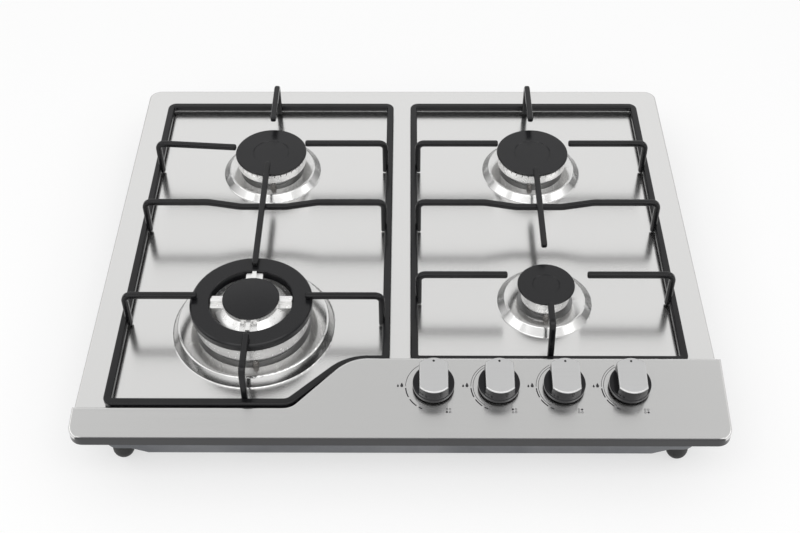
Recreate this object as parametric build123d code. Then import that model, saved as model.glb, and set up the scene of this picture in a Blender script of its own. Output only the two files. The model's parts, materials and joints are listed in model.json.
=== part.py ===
from build123d import *
from collections import namedtuple
from math import cos, radians, sin, tan
import os

# A built-in gas cooktop with four burners, for a worktop cut-out of 560 x 490 mm.
# Lengths are millimetres and angles are degrees. +X is the user's right, +Y the wall
# behind the cooktop and +Z up. The origin lies on the ground that the four rubber feet
# stand on, under the middle of the steel plate.

# ---------------------------------------------------------------- driving dimensions
# Steel plate and the sheet steel tray under it
plate_width = 590.0
plate_depth = 510.0
plate_corner = 13.0
plate_sheet = 1.0
rim_height = 8.0
rim_round = 2.0
tray_side_margin = 23.0
tray_end_margin = 19.0
tray_corner = 14.0
tray_sheet = 1.0
tray_height = 37.0
well_side_margin = 41.0
well_rear_margin = 101.0
well_slope = 15.0
well_drop = 6.0

# Rubber feet
foot_height = 20.0
foot_diameter = 20.0
foot_flat = 8.0
foot_bulge = 0.84
foot_side_margin = 16.0
foot_end_margin = 10.0

# Raised control panel pressed into the front of the plate
panel_angle = 10.5
panel_front_rise = 1.0
panel_gap = 1.0
panel_wall_lean = 4.5

# Pressed rings around the burners
ring_lip = 3.5
ring_round = 2.0
ring_land = 3.0

# Pan supports: a floor frame, a bridge across it and fingers welded to its inner face
support_side_margin = 27.0
support_rear_margin = 34.5
support_front_margin = 33.2
support_knob_margin = 84.8
support_middle_gap = 19.0
frame_bar_width = 7.5
frame_bar_height = 7.0
frame_bar_round = 2.0
frame_lift = 2.0
frame_corner = 9.0
frame_bend = 42.0
frame_step_offset = 63.5
finger_bar = 6.0
finger_round = 2.0
finger_overlap = 2.5
finger_top = 43.5
finger_foot = 3.0
finger_bend = 9.5
bridge_offset = 95.5
bridge_flat_half = 23.0
bridge_slope_run = 32.0
bridge_bend = 24.0
front_finger_lean = 6.5
left_long_reach = 33.5
right_long_reach = 41.5
bent_finger_turn = -4.5
bent_finger_reach = 35.3
pad_diameter = 7.0
pad_inset = 15.0

# Burners: places from the middle of the pan supports and from the plate's edges
burner_offset = 1.5
rear_burner_margin = 145.5
front_right_margin = 167.5
front_left_margin = 135.5

# Medium burners at the rear: radii, levels above the plate and reach of the fingers
medium_ring_foot = 52.5
medium_ring_ridge = 45.5
medium_ring_height = 7.0
medium_hole = 34.0
medium_bowl = 27.2
medium_spark = 30.3
medium_crown = 36.5
medium_throat = 27.0
medium_skirt = 26.0
medium_crown_low = 15.0
medium_crown_high = 24.0
medium_ports = 36
medium_cap = 37.9
medium_cap_low = 26.0
medium_cap_high = 28.0
medium_step = 18.5
medium_side_reach = 37.5
medium_side_shift = -1.2
medium_end_reach = 38.5

# Small burner at the front right
small_ring_foot = 46.3
small_ring_ridge = 38.8
small_ring_height = 7.0
small_hole = 27.0
small_bowl = 20.2
small_spark = 23.3
small_crown = 23.5
small_throat = 18.0
small_skirt = 19.0
small_crown_low = 10.0
small_crown_high = 22.5
small_ports = 24
small_cap = 27.6
small_cap_low = 24.5
small_cap_high = 26.5
small_step = 12.5
small_side_reach = 38.0
small_side_shift = -1.7
small_end_reach = 39.5
small_long_reach = 37.5

# Large double-ring burner at the front left
large_ring_foot = 77.3
large_ring_ridge = 71.5
large_ring_height = 10.0
large_hole = 55.0
large_bowl = 48.2
large_spark = 51.3
large_crown_radius = 54.0
large_throat = 51.0
large_skirt = 47.0
large_crown_low = 13.0
large_crown_high = 27.0
large_ports = 48
large_cap = 57.8
large_cap_low = 29.6
large_cap_high = 37.0
large_side_reach = 51.0
large_side_shift = 2.2
large_end_reach = 46.5
large_long_reach = 43.5

# Cups under the plate
cup_sheet = 3.0
cup_floor = 3.0
cup_neck = 6.0
block_height = 14.0
block_radius = 21.5
inlet_boss_radius = 6.0
inlet_boss_reach = 30.0
cup_boss = 17.0
window_margin = 1.0
venturi_bore = 9.0
venturi_wall = 2.0
venturi_drop = 3.0
crown_cone = 3.0
crown_floor = 3.0
crown_dish = 6.0
port_width = 0.9
port_depth = 2.5
wall_port_diameter = 1.5
seat_clearance = 0.2
slide_clearance = 0.3
near_enough = 0.01

# Caps: locating skirt below and round step on top
cap_skirt = 2.0
cap_drop = 3.0
cap_step = 0.8
cap_bevel = 0.8
cap_rest = 1.0

# Inner crown and inner cap of the large burner
core_radius = 26.0
core_wall = 3.5
core_low = 20.0
core_high = 37.0
core_cap = 26.8
core_cap_low = 38.0
core_cap_edge = 2.0
core_cap_dome = 1.8
core_cap_rest = 0.5
core_ports = 24
channel_inner = 41.0
channel_wall = 3.0
outer_cap_hollow = 4.0
outer_cap_hole = 39.5
outer_cap_edge = 2.0
arm_width = 16.0
arm_high = 34.0
arm_drop = 4.0
arm_low_gap = 1.0
arm_end_gap = 1.2
arm_round = 1.5
arm_rib = 4.0
arm_rib_rise = 3.0

# Spark electrodes and injectors
electrode_radius = 2.3
electrode_shoulder = 3.0
electrode_shoulder_height = 1.6
electrode_rise = 4.5
electrode_drop = 12.0
electrode_pin_radius = 0.9
electrode_pin_rise = 1.0
injector_radius = 4.0
injector_head = 10.0
injector_head_height = 4.0
injector_depth = 8.0
injector_jet = 0.8

# Knobs and gas valves, measured along the axis square to the panel
knob_count = 4
knob_pitch = 59.1
knob_side_margin = 87.2
knob_front_margin = 52.7
knob_diameter = 37.8
knob_grip_width = 26.6
knob_grip_slope = 1.5
knob_gap = 3.4
knob_skirt_top = 8.0
knob_top = 21.0
knob_edge = 1.2
knob_hub_radius = 6.5
knob_wall = 2.0
knob_mark_offset = 14.5
knob_mark_radius = 1.1
knob_mark_depth = 0.4
knob_fit = 0.05
push_travel = 3.0
spindle_radius = 4.0
spindle_flat = 2.6
spindle_top = 16.5
spindle_low = 16.0
spindle_hole_radius = 5.5
tongue_width = 3.0
tongue_inset = 0.5
tongue_length = 7.0
valve_width = 24.0
valve_depth = 22.0
valve_round = 2.0
valve_top = 18.0
valve_bottom = 44.0
bonnet_radius = 9.5
bonnet_top = 12.0
plug_top_radius = 7.0
plug_low_radius = 5.6
plug_top = 19.5
plug_bottom = 41.0
plug_port_radius = 1.5
feed_radius = 2.0
saddle_width = 18.0
saddle_height = 13.6
outlet_level = 36.0
outlet_reach = 20.0
outlet_radius = 6.5
tube_run = 8.0

# Gas rail, pipes and the inlet
rail_radius = 8.0
rail_wall = 1.5
rail_level = 34.0
rail_offset = 20.0
rail_fit = 0.1
rail_left_reach = 24.5
rail_right_reach = 17.0
pipe_side_margin = 14.0
pipe_bend = 22.0
inlet_rear_margin = 50.0
elbow_leg = 20.0
elbow_wall = 1.5
elbow_round = 3.0
inlet_thread_radius = 10.48
inlet_thread_length = 14.0
inlet_neck_radius = 10.2
inlet_neck_length = 1.0
inlet_hole_radius = 10.98
inlet_flange_radius = 12.0
inlet_flange_height = 3.0
tube_radius = 4.0
tube_wall = 1.0
tube_bend = 16.0
tube_diagonal = 84.0
tube_bypass = 36.0
tube_lead_out = 46.3
tube_lead_in = 53.5

# Electrical parts in the tray
generator_size = (64.0, 44.0, 20.0)
generator_place = (-4.0, 10.0)
generator_round = 3.0
terminal_radius = 2.4
terminal_height = 5.0
lead_radius = 1.3
lead_rise = 6.6
lead_run = 40.0
lead_bend = 4.0
switch_size = (9.0, 12.0, 16.0)
switch_top = 14.0
switch_round = 1.0

# Worktop seal, clamp holes and vents
seal_width = 7.0
seal_inset = 4.0
clamp_hole_radius = 2.1
clamp_side_margin = 16.0
clamp_end_margin = 116.0
vent_length = 46.0
vent_width = 4.0
vent_pitch = 12.0
vent_rows = 6
vent_x = 150.0

# ---------------------------------------------------------------- worked-out places and levels
half_plate = plate_width / 2
half_depth = plate_depth / 2
half_tray = half_plate - tray_side_margin
tray_end = half_depth - tray_end_margin
half_well = half_tray - well_side_margin
well_rear = tray_end - well_rear_margin
foot_x = half_tray - foot_side_margin
foot_y = tray_end - foot_end_margin
clamp_x = half_tray - clamp_side_margin
clamp_y = tray_end - clamp_end_margin
pipe_x = half_tray - pipe_side_margin
inlet_y = tray_end - inlet_rear_margin
tray_bottom = foot_height
deck = tray_bottom + tray_height + plate_sheet
under_deck = deck - plate_sheet
rim_low = deck - rim_height
well_bottom = tray_bottom - well_drop
well_floor = well_bottom + tray_sheet
panel_slope = tan(radians(panel_angle))
knob_first_x = half_plate - knob_side_margin - (knob_count - 1) * knob_pitch
knob_y = knob_front_margin - half_depth
rail_end = knob_first_x + (knob_count - 1) * knob_pitch + rail_right_reach
frame_outer_x = half_plate - support_side_margin
frame_middle_x = support_middle_gap / 2
frame_rear_y = half_depth - support_rear_margin
frame_front_y = support_front_margin - half_depth
frame_knob_y = support_knob_margin - half_depth
frame_step = frame_knob_y - frame_front_y
frame_step_x = -frame_middle_x - frame_step_offset
finger_level = deck + finger_top
finger_under = finger_level - finger_bar
foot_level = deck + finger_foot
burner_x = (frame_outer_x + frame_middle_x) / 2 + burner_offset
rear_y = half_depth - rear_burner_margin
bridge_y = rear_y - bridge_offset

Burner = namedtuple("Burner", "name x y inlet_turn spark_turn long_reach ring_foot ring_ridge ring_height "
                              "hole bowl spark crown throat skirt crown_low crown_high ports cap cap_low "
                              "cap_high step side_reach side_shift end_reach")
medium = (medium_ring_foot, medium_ring_ridge, medium_ring_height, medium_hole, medium_bowl, medium_spark,
          medium_crown, medium_throat, medium_skirt, medium_crown_low, medium_crown_high, medium_ports,
          medium_cap, medium_cap_low, medium_cap_high, medium_step, medium_side_reach, medium_side_shift,
          medium_end_reach)
small = (small_ring_foot, small_ring_ridge, small_ring_height, small_hole, small_bowl, small_spark,
         small_crown, small_throat, small_skirt, small_crown_low, small_crown_high, small_ports,
         small_cap, small_cap_low, small_cap_high, small_step, small_side_reach, small_side_shift,
         small_end_reach)
large = (large_ring_foot, large_ring_ridge, large_ring_height, large_hole, large_bowl, large_spark,
         large_crown_radius, large_throat, large_skirt, large_crown_low, large_crown_high, large_ports,
         large_cap, large_cap_low, large_cap_high, 0.0, large_side_reach, large_side_shift, large_end_reach)
rear_left = Burner("rear_left", -burner_x, rear_y, 0, -84, left_long_reach, *medium)
rear_right = Burner("rear_right", burner_x, rear_y, -90, -96, right_long_reach, *medium)
front_right = Burner("front_right", burner_x, front_right_margin - half_depth, 0, -91, small_long_reach,
                     *small)
front_left = Burner("front_left", -burner_x, front_left_margin - half_depth, 0, -83, large_long_reach,
                    *large)
ring_burners = (rear_left, rear_right, front_right)
burners = ring_burners + (front_left,)


def panel_height(y):
    """Height of the raised panel's surface at a distance from front to back."""
    return deck + panel_front_rise + panel_slope * (y + half_depth)


def knob_x(index):
    """Place of one knob from left to right."""
    return knob_first_x + index * knob_pitch


def knob_plane(index):
    """Plane on the panel at one knob, with its Z along the knob's axis."""
    tilt = radians(panel_angle)
    normal = (0, -sin(tilt), cos(tilt))
    return Plane(origin=(knob_x(index), knob_y, panel_height(knob_y)), x_dir=(1, 0, 0), z_dir=normal)


def rounded_block(width, depth, corner, low, high):
    """Upright block with round corners, from one level to another."""
    return Pos(0, 0, low) * extrude(RectangleRounded(width, depth, corner), amount=high - low)


def cylinder(radius, low, high, x=0.0, y=0.0):
    """Upright cylinder from one level to another."""
    return Pos(x, y, low) * Cylinder(radius, high - low, align=(Align.CENTER, Align.CENTER, Align.MIN))


def turned(points):
    """Body turned about the Z axis from a closed outline of (radius, height) points."""
    outline = make_face(Polyline(*points, close=True))
    return revolve(Plane.XZ * outline, axis=Axis.Z)


def round_tube(points, bend, radius, wall):
    """Bent round tube along straight runs joined by arcs."""
    path = FilletPolyline(*points, radius=bend) if len(points) > 2 else Line(*points)
    section = Circle(radius) - Circle(radius - wall)
    return sweep(Plane(origin=path @ 0, z_dir=path % 0) * section, path=path)


# ---------------------------------------------------------------- plate
def panel_outline():
    """Panel seen from above; its rear edge follows the pan supports at a small gap."""
    left_y, right_y = frame_front_y - panel_gap, frame_knob_y - panel_gap
    far, front = half_plate + plate_corner, -half_depth - plate_corner
    middle = frame_step_x + panel_gap * tan(radians(22.5))
    low, high = middle - frame_step / 2, middle + frame_step / 2
    outline = make_face(Polyline((-far, left_y), (low, left_y), (high, right_y), (far, right_y),
                                 (far, front), (-far, front), close=True))
    inner, outer = [min(outline.vertices(), key=lambda corner: abs(corner.X - x) + abs(corner.Y - y))
                    for x, y in ((low, left_y), (high, right_y))]
    outline = fillet(outer, frame_bend - panel_gap)
    inner = min(outline.vertices(), key=lambda corner: abs(corner.X - low) + abs(corner.Y - left_y))
    return fillet(inner, frame_corner + frame_bar_width)


def panel_block(inset):
    """The raised panel as a solid wedge, its rear wall leaning forwards."""
    plan = offset(panel_outline(), -inset) if inset else panel_outline()
    wall = extrude(plan, amount=3 * rim_height, taper=panel_wall_lean)
    if wall.bounding_box().min.Z < -1:
        wall = mirror(wall, about=Plane.XY)
    wedge = Pos(0, 0, deck - inset) * wall
    wedge += Pos(0, 0, rim_low) * extrude(plan, amount=rim_height - inset)
    column = rounded_block(plate_width - 2 * inset, plate_depth - 2 * inset, plate_corner - inset,
                           rim_low, deck + 4 * rim_height)
    drop = inset / cos(radians(panel_angle))
    surface = Plane(origin=(0, 0, panel_height(0) - drop), x_dir=(1, 0, 0),
                    z_dir=(0, -sin(radians(panel_angle)), cos(radians(panel_angle))))
    block = split(column & wedge, bisect_by=surface, keep=Keep.BOTTOM)
    top = [face for face in block.faces() if face.normal_at().Z > cos(radians(panel_angle + 1))]
    top = sorted(top, key=lambda face: face.area)[-1]
    return fillet(top.edges(), rim_round - inset)


def plate_form(inset):
    """Outside of the pressed plate, or its inside at a sheet's thickness."""
    slab = rounded_block(plate_width - 2 * inset, plate_depth - 2 * inset, plate_corner - inset,
                         rim_low, deck - inset)
    slab = fillet(slab.faces().sort_by(Axis.Z)[-1].edges(), rim_round - inset)
    return slab + panel_block(inset)


def burner_ring(burner):
    """Pressed ring around a burner: land, steep wall, ridge and a fall to the hole."""
    line = FilletPolyline((burner.ring_foot + ring_land, 0), (burner.ring_foot, 0),
                          (burner.ring_ridge, burner.ring_height), (burner.hole, ring_lip),
                          radius=ring_round)
    wall = make_face(line.wire().offset_2d(plate_sheet, side=Side.LEFT, closed=True))
    return Pos(burner.x, burner.y, deck) * revolve(Plane.XZ * wall, axis=Axis.Z)


def top_plate():
    """Pressed stainless steel plate with its rim, control panel and burner rings."""
    plate = plate_form(0.0) - plate_form(plate_sheet)
    for burner in burners:
        plate -= cylinder(burner.ring_foot + ring_land, rim_low, deck + rim_height, burner.x, burner.y)
    for burner in burners:
        plate += burner_ring(burner)
    for index in range(knob_count):
        plate -= knob_plane(index).location * Cylinder(spindle_hole_radius, 2 * rim_height)
    return plate


# ---------------------------------------------------------------- tray, seal and feet
def tray_form(inset):
    """Outside of the tray, or its inside at a sheet's thickness."""
    half, end, well = half_tray - inset, tray_end - inset, half_well - inset / 2
    ledge, low, rear = tray_bottom + inset, well_bottom + inset, well_rear - inset / 2
    across = Polyline((-well - well_slope, ledge), (-well, low), (well, low), (well + well_slope, ledge),
                      close=True)
    along = Polyline((-end, ledge), (-end, low), (rear, low), (rear + well_slope, ledge), close=True)
    pocket = extrude(Plane.XZ * make_face(across), amount=end, both=True)
    pocket &= extrude(Plane.YZ * make_face(along), amount=half, both=True)
    return rounded_block(2 * half, 2 * end, tray_corner - inset, ledge, under_deck + inset) + pocket


def vent_slots():
    """Two banks of slots through the tray's floor."""
    slot = extrude(Rot(0, 0, 90) * SlotOverall(vent_length, vent_width), amount=3 * tray_sheet, both=True)
    return [Pos(side * vent_x, 0, well_bottom) * place * slot for side in (-1, 1)
            for place in GridLocations(vent_pitch, 1, vent_rows, 1)]


def bottom_tray():
    """Folded steel tray that closes the underside."""
    tray = tray_form(0.0) - tray_form(tray_sheet)
    low, high = tray_bottom - tray_sheet, tray_bottom + 2 * tray_sheet
    for side in (-1, 1):
        for end in (-1, 1):
            tray -= cylinder(clamp_hole_radius, low, high, side * clamp_x, end * clamp_y)
    tray -= cylinder(inlet_hole_radius, low, high, pipe_x, inlet_y)
    for slot in vent_slots():
        tray -= slot
    return tray


def worktop_seal():
    """Foam strip under the rim of the plate, pressed flat against the worktop."""
    outer = 2 * (plate_sheet + seal_inset)
    inner = outer + 2 * seal_width
    strip = rounded_block(plate_width - outer, plate_depth - outer, plate_corner - seal_inset, rim_low,
                          under_deck)
    return strip - rounded_block(plate_width - inner, plate_depth - inner, seal_width / 2, rim_low,
                                 under_deck)


def foot(x, y):
    """Rubber foot: a straight neck and a domed end with a small flat."""
    radius = foot_diameter / 2
    arc = ThreePointArc((foot_flat / 2, 0), (radius * foot_bulge, radius * foot_bulge / 2), (radius, radius))
    side = Polyline((radius, radius), (radius, foot_height), (0, foot_height), (0, 0), (foot_flat / 2, 0))
    return Pos(x, y, 0) * revolve(Plane.XZ * make_face(arc + side), axis=Axis.Z)


# ---------------------------------------------------------------- pan supports
def frame_outline(side):
    """Outer outline of a support's floor frame: left one stepped around the knobs."""
    if side == "right":
        return Polyline((frame_middle_x, frame_rear_y), (frame_outer_x, frame_rear_y),
                        (frame_outer_x, frame_knob_y), (frame_middle_x, frame_knob_y), close=True)
    step_low = frame_step_x - frame_step / 2
    step_high = frame_step_x + frame_step / 2
    return Polyline((-frame_outer_x, frame_rear_y), (-frame_middle_x, frame_rear_y),
                    (-frame_middle_x, frame_knob_y), (step_high, frame_knob_y),
                    (step_low, frame_front_y), (-frame_outer_x, frame_front_y), close=True)


def corners_at(face, *places):
    """Corners of a flat face that stand at one of some distances from left to right."""
    return [corner for corner in face.vertices() if min(abs(corner.X - x) for x in places) < near_enough]


def frame_block(side):
    """Floor frame of a support before its edges are rounded."""
    outer = make_face(frame_outline(side))
    if side == "left":
        outer = fillet(corners_at(outer, frame_step_x - frame_step / 2), frame_corner + frame_bar_width)
        outer = fillet(corners_at(outer, frame_step_x + frame_step / 2), frame_bend)
    outer = fillet(corners_at(outer, -frame_outer_x, -frame_middle_x, frame_middle_x, frame_outer_x),
                   frame_corner)
    ring = extrude(outer - offset(outer, -frame_bar_width), amount=frame_bar_height)
    return Pos(0, 0, deck + frame_lift) * ring


def support_frame(side):
    """Closed floor frame bent from flat bar, with rounded corners."""
    ring = frame_block(side)
    return fillet(ring.faces().filter_by(Axis.Z).edges(), frame_bar_round)


def bent_bar(points, bends, plane):
    """Bar bent in one plane from its outer line, with round edges above its square foot."""
    line = FilletPolyline(*points, radius=bends)
    side = line.wire().offset_2d(finger_bar, side=Side.RIGHT, closed=True)
    bar = extrude(plane * make_face(side), amount=finger_bar / 2, both=True)
    low = bar.bounding_box().min.Z
    edges = [edge for edge in bar.edges() if edge.bounding_box().max.Z > low + near_enough]
    return fillet(edges, finger_round)


def side_finger(frame_x, tip_x, y, turn=0.0):
    """Finger from the frame's side bar in towards a burner, turned about its leg if it is bent."""
    points = [(frame_x, foot_level), (frame_x, finger_level), (tip_x, finger_level)]
    if frame_x > tip_x:
        bar = mirror(bent_bar([(-x, z) for x, z in points], finger_bend, Plane.XZ), about=Plane.YZ)
    else:
        bar = bent_bar(points, finger_bend, Plane.XZ)
    return Pos(frame_x, y, 0) * Rot(0, 0, turn) * Pos(-frame_x, 0, 0) * bar


def end_finger(points, bends, x, from_rear):
    """Finger from the frame's front or rear bar, bent in an upright plane."""
    if from_rear:
        bar = bent_bar([(-y, z) for y, z in points], bends, Plane.YZ)
        return Pos(x, 0, 0) * mirror(bar, about=Plane.XZ)
    return Pos(x, 0, 0) * bent_bar(points, bends, Plane.YZ)


def long_finger(front, rear):
    """Straight finger that lies in the bridge's dip and serves both burners of a support."""
    low, high = front.y + front.long_reach, rear.y - rear.long_reach
    bar = Pos(front.x, (low + high) / 2, finger_level - finger_bar / 2) * Box(
        finger_bar, high - low, finger_bar)
    return fillet(bar.edges(), finger_round)


def support_bridge(side):
    """Bridge across a frame, dipped in the middle to take the long finger."""
    inner = frame_outer_x - frame_bar_width + finger_overlap
    near = frame_middle_x + frame_bar_width - finger_overlap
    flat = bridge_flat_half
    slope = flat + bridge_slope_run
    points = [(near, foot_level), (near, finger_level), (burner_x - slope, finger_level),
              (burner_x - flat, finger_under), (burner_x + flat, finger_under),
              (burner_x + slope, finger_level), (inner, finger_level), (inner, foot_level)]
    bends = [finger_bend, bridge_bend, bridge_bend, bridge_bend, bridge_bend, finger_bend]
    bar = Pos(0, bridge_y, 0) * bent_bar(points, bends, Plane.XZ)
    bar = mirror(bar, about=Plane.YZ) if side == "left" else bar
    return bar - frame_block(side)


def front_finger(side, front):
    """Finger from the front bar of a frame; the right one leans back from its foot."""
    tip = (front.y - front.end_reach, finger_level)
    if side == "left":
        foot_y = frame_front_y + frame_bar_width
        points, bends = [(foot_y, foot_level), (foot_y, finger_level), tip], finger_bend
    else:
        foot_y = frame_knob_y + frame_bar_width
        points = [(foot_y, foot_level), (foot_y, foot_level + frame_bar_height),
                  (foot_y + front_finger_lean, finger_level), tip]
        bends = [finger_bend, finger_bend]
    return end_finger(points, bends, front.x, False)


def support_fingers(side):
    """The fingers of one pan support, as separate bars that sit on the frame's inner edge."""
    sign = -1 if side == "left" else 1
    outer = sign * (frame_outer_x - frame_bar_width + finger_overlap)
    inner = sign * (frame_middle_x + frame_bar_width - finger_overlap)
    rear, front = (rear_left, front_left) if side == "left" else (rear_right, front_right)
    left_x, right_x = min(outer, inner), max(outer, inner)
    left_reach = bent_finger_reach if side == "left" else rear.side_reach
    left_turn = bent_finger_turn if side == "left" else 0.0
    rear_foot = frame_rear_y - frame_bar_width
    bars = [side_finger(left_x, rear.x - left_reach, rear.y + rear.side_shift, left_turn),
            side_finger(right_x, rear.x + rear.side_reach, rear.y + rear.side_shift),
            side_finger(left_x, front.x - front.side_reach, front.y + front.side_shift),
            side_finger(right_x, front.x + front.side_reach, front.y + front.side_shift),
            end_finger([(rear_foot, foot_level), (rear_foot, finger_level),
                        (rear.y + rear.end_reach, finger_level)], finger_bend, rear.x, True),
            front_finger(side, front)]
    frame = frame_block(side)
    return [bar - frame for bar in bars] + [long_finger(front, rear)]


def support_pads(side):
    """Small rubber pads under a floor frame, which keep it off the steel."""
    sign = -1 if side == "left" else 1
    inset = frame_bar_width / 2
    near, far = frame_middle_x + inset, frame_outer_x - inset
    front = frame_front_y if side == "left" else frame_knob_y
    places = [(far, frame_rear_y - pad_inset), (near, frame_rear_y - pad_inset),
              (far, front + pad_inset), (near, frame_knob_y + 2 * pad_inset)]
    if side == "left":
        places.append((burner_x + 2 * pad_inset, front + inset))
    return [cylinder(pad_diameter / 2, deck + seat_clearance, deck + frame_lift, sign * x, y)
            for x, y in places]


# ---------------------------------------------------------------- burners
def tube_start(index):
    """Where a valve's tube starts, and the level it runs at."""
    plane = knob_plane(index)
    start = plane.from_local_coords(Vector(0, outlet_reach, -outlet_level))
    bend = plane.from_local_coords(Vector(0, outlet_reach + tube_run, -outlet_level))
    return start, bend


tube_level = tube_start(0)[1].Z
block_low = tube_level - block_height / 2
block_high = tube_level + block_height / 2
bowl_low = block_high + cup_neck
bowl_floor = bowl_low + cup_floor
collar_top = deck + ring_lip - seat_clearance


def burner_cup(burner):
    """Cast aluminium cup under the plate: collar, bowl, air windows and injector block."""
    upright = (Align.CENTER, Align.CENTER, Align.MIN)
    hole = burner.hole - slide_clearance
    bowl = burner.bowl
    flange = burner.hole + 2 * cup_sheet
    flange_top = deck + ring_lip - plate_sheet - seat_clearance
    flange_low = flange_top - cup_sheet
    neck = cup_boss + cup_sheet
    cup = turned([(bowl, bowl_floor), (bowl, collar_top), (hole, collar_top), (hole, flange_top),
                  (flange, flange_top), (flange, flange_low), (hole, flange_low),
                  (bowl + cup_sheet, bowl_low), (neck, bowl_low), (neck, block_high),
                  (block_radius, block_high), (block_radius, block_low), (0, block_low),
                  (0, block_high), (cup_boss, block_high), (cup_boss, bowl_floor)])
    window = Box(4 * cup_boss, cup_boss / 2, cup_neck - 2 * window_margin, align=upright)
    for turn in (30, 90, 150):
        cup -= Pos(0, 0, block_high + window_margin) * Rot(0, 0, turn + burner.inlet_turn) * window
    level = Pos(0, 0, tube_level) * Rot(0, 0, burner.inlet_turn) * Rot(0, 90, 0)
    cup += level * Cylinder(inlet_boss_radius, inlet_boss_reach, align=upright)
    cup -= level * Cylinder(tube_radius - tube_wall, inlet_boss_reach, align=upright)
    cup -= cylinder(injector_radius + knob_fit, tube_level, block_high)
    spark_x, spark_y = electrode_place(burner)
    cup -= cylinder(electrode_radius + slide_clearance, bowl_low - cup_floor, deck + rim_height,
                    spark_x, spark_y)
    return Pos(burner.x, burner.y, 0) * cup


def electrode_place(burner):
    """Place of the electrode from the burner's axis, just outside the crown."""
    turn = radians(burner.spark_turn)
    return burner.spark * cos(turn), burner.spark * sin(turn)


def spark_electrode(burner):
    """Ceramic electrode with a shoulder on the collar and a steel pin."""
    seat = collar_top
    top = seat + electrode_rise
    ceramic = cylinder(electrode_radius, seat - electrode_drop, top)
    ceramic = fillet(ceramic.faces().sort_by(Axis.Z)[-1].edges(), electrode_radius / 3)
    shoulder = cylinder(electrode_shoulder, seat, seat + electrode_shoulder_height)
    pin = cylinder(electrode_pin_radius, seat, top + electrode_pin_rise)
    pin = fillet(pin.faces().sort_by(Axis.Z)[-1].edges(), electrode_pin_radius / 2)
    spark_x, spark_y = electrode_place(burner)
    return Pos(burner.x + spark_x, burner.y + spark_y, 0) * (ceramic + shoulder + pin)


def injector(burner):
    """Brass injector screwed into the cup's block."""
    flats = RegularPolygon(injector_head / 2, 6, major_radius=False)
    head = Pos(0, 0, block_high) * extrude(flats, amount=injector_head_height)
    shank = cylinder(injector_radius, block_high - injector_depth / 2, block_high)
    bore = cylinder(injector_jet / 2, block_high - injector_depth, block_high + injector_head_height)
    return Pos(burner.x, burner.y, 0) * (head + shank - bore)


def flame_ports(count, radius, depth, level):
    """Radial slots cut down from a crown's top edge."""
    slot = Pos(radius, 0, level) * Box(2 * depth, port_width, port_depth,
                                       align=(Align.CENTER, Align.CENTER, Align.MAX))
    return [Rot(0, 0, 360 * step / count) * slot for step in range(count)]


def ring_crown(burner):
    """Flame spreader of a single-ring burner, with its venturi, skirt and ports."""
    low, high = deck + burner.crown_low, deck + burner.crown_high
    seat = bowl_floor + seat_clearance
    venturi = venturi_bore + venturi_wall
    dish = high - crown_dish
    under = dish - crown_floor
    inside = burner.skirt - crown_floor
    crown = turned([(venturi_bore, seat - venturi_drop), (venturi, seat - venturi_drop), (venturi, under),
                    (inside, under), (inside, seat), (burner.skirt, seat), (burner.skirt, low - crown_cone),
                    (burner.crown, low), (burner.crown, high), (burner.throat, high),
                    (burner.throat, dish), (venturi_bore, dish)])
    band = burner.crown - burner.throat
    for port in flame_ports(burner.ports, burner.crown - band / 2, band, high):
        crown -= port
    return Pos(burner.x, burner.y, 0) * crown


def ring_cap(burner):
    """Enamelled cap: thin rim, shallow round step on top and a locating skirt below."""
    seat = deck + burner.crown_high + seat_clearance
    low, high = deck + burner.cap_low, deck + burner.cap_high
    skirt = burner.throat - slide_clearance
    edge, step = burner.cap, burner.step
    cap = turned([(0, low), (skirt - cap_skirt, low), (skirt - cap_skirt, seat - cap_drop),
                  (skirt, seat - cap_drop), (skirt, seat), (burner.crown - cap_rest, seat),
                  (edge - cap_bevel, low), (edge, low + cap_bevel), (edge, high - cap_bevel),
                  (edge - cap_bevel, high), (step + cap_bevel, high), (step, high - cap_step),
                  (0, high - cap_step)])
    return Pos(burner.x, burner.y, 0) * cap


def bridge_arms():
    """Four cast arms that carry the inner crown inside the outer channel."""
    upright = (Align.MIN, Align.CENTER, Align.MIN)
    start, low = core_radius - core_wall / 2, deck + core_low - arm_drop
    base = Pos(start, 0, low) * Box(channel_inner + channel_wall / 2 - start, arm_width,
                                    deck + front_left.crown_high - arm_low_gap - low, align=upright)
    reach = outer_cap_hole - arm_end_gap - start
    pad = Pos(start, 0, low) * Box(reach, arm_width, deck + arm_high - low, align=upright)
    pad = fillet(pad.edges().filter_by(Axis.Z), arm_round)
    rib = Pos(start, 0, deck + arm_high) * Box(reach, arm_rib, arm_rib_rise, align=upright)
    return [Rot(0, 0, turn) * (base + pad + rib) for turn in (0, 90, 180, 270)]


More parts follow.
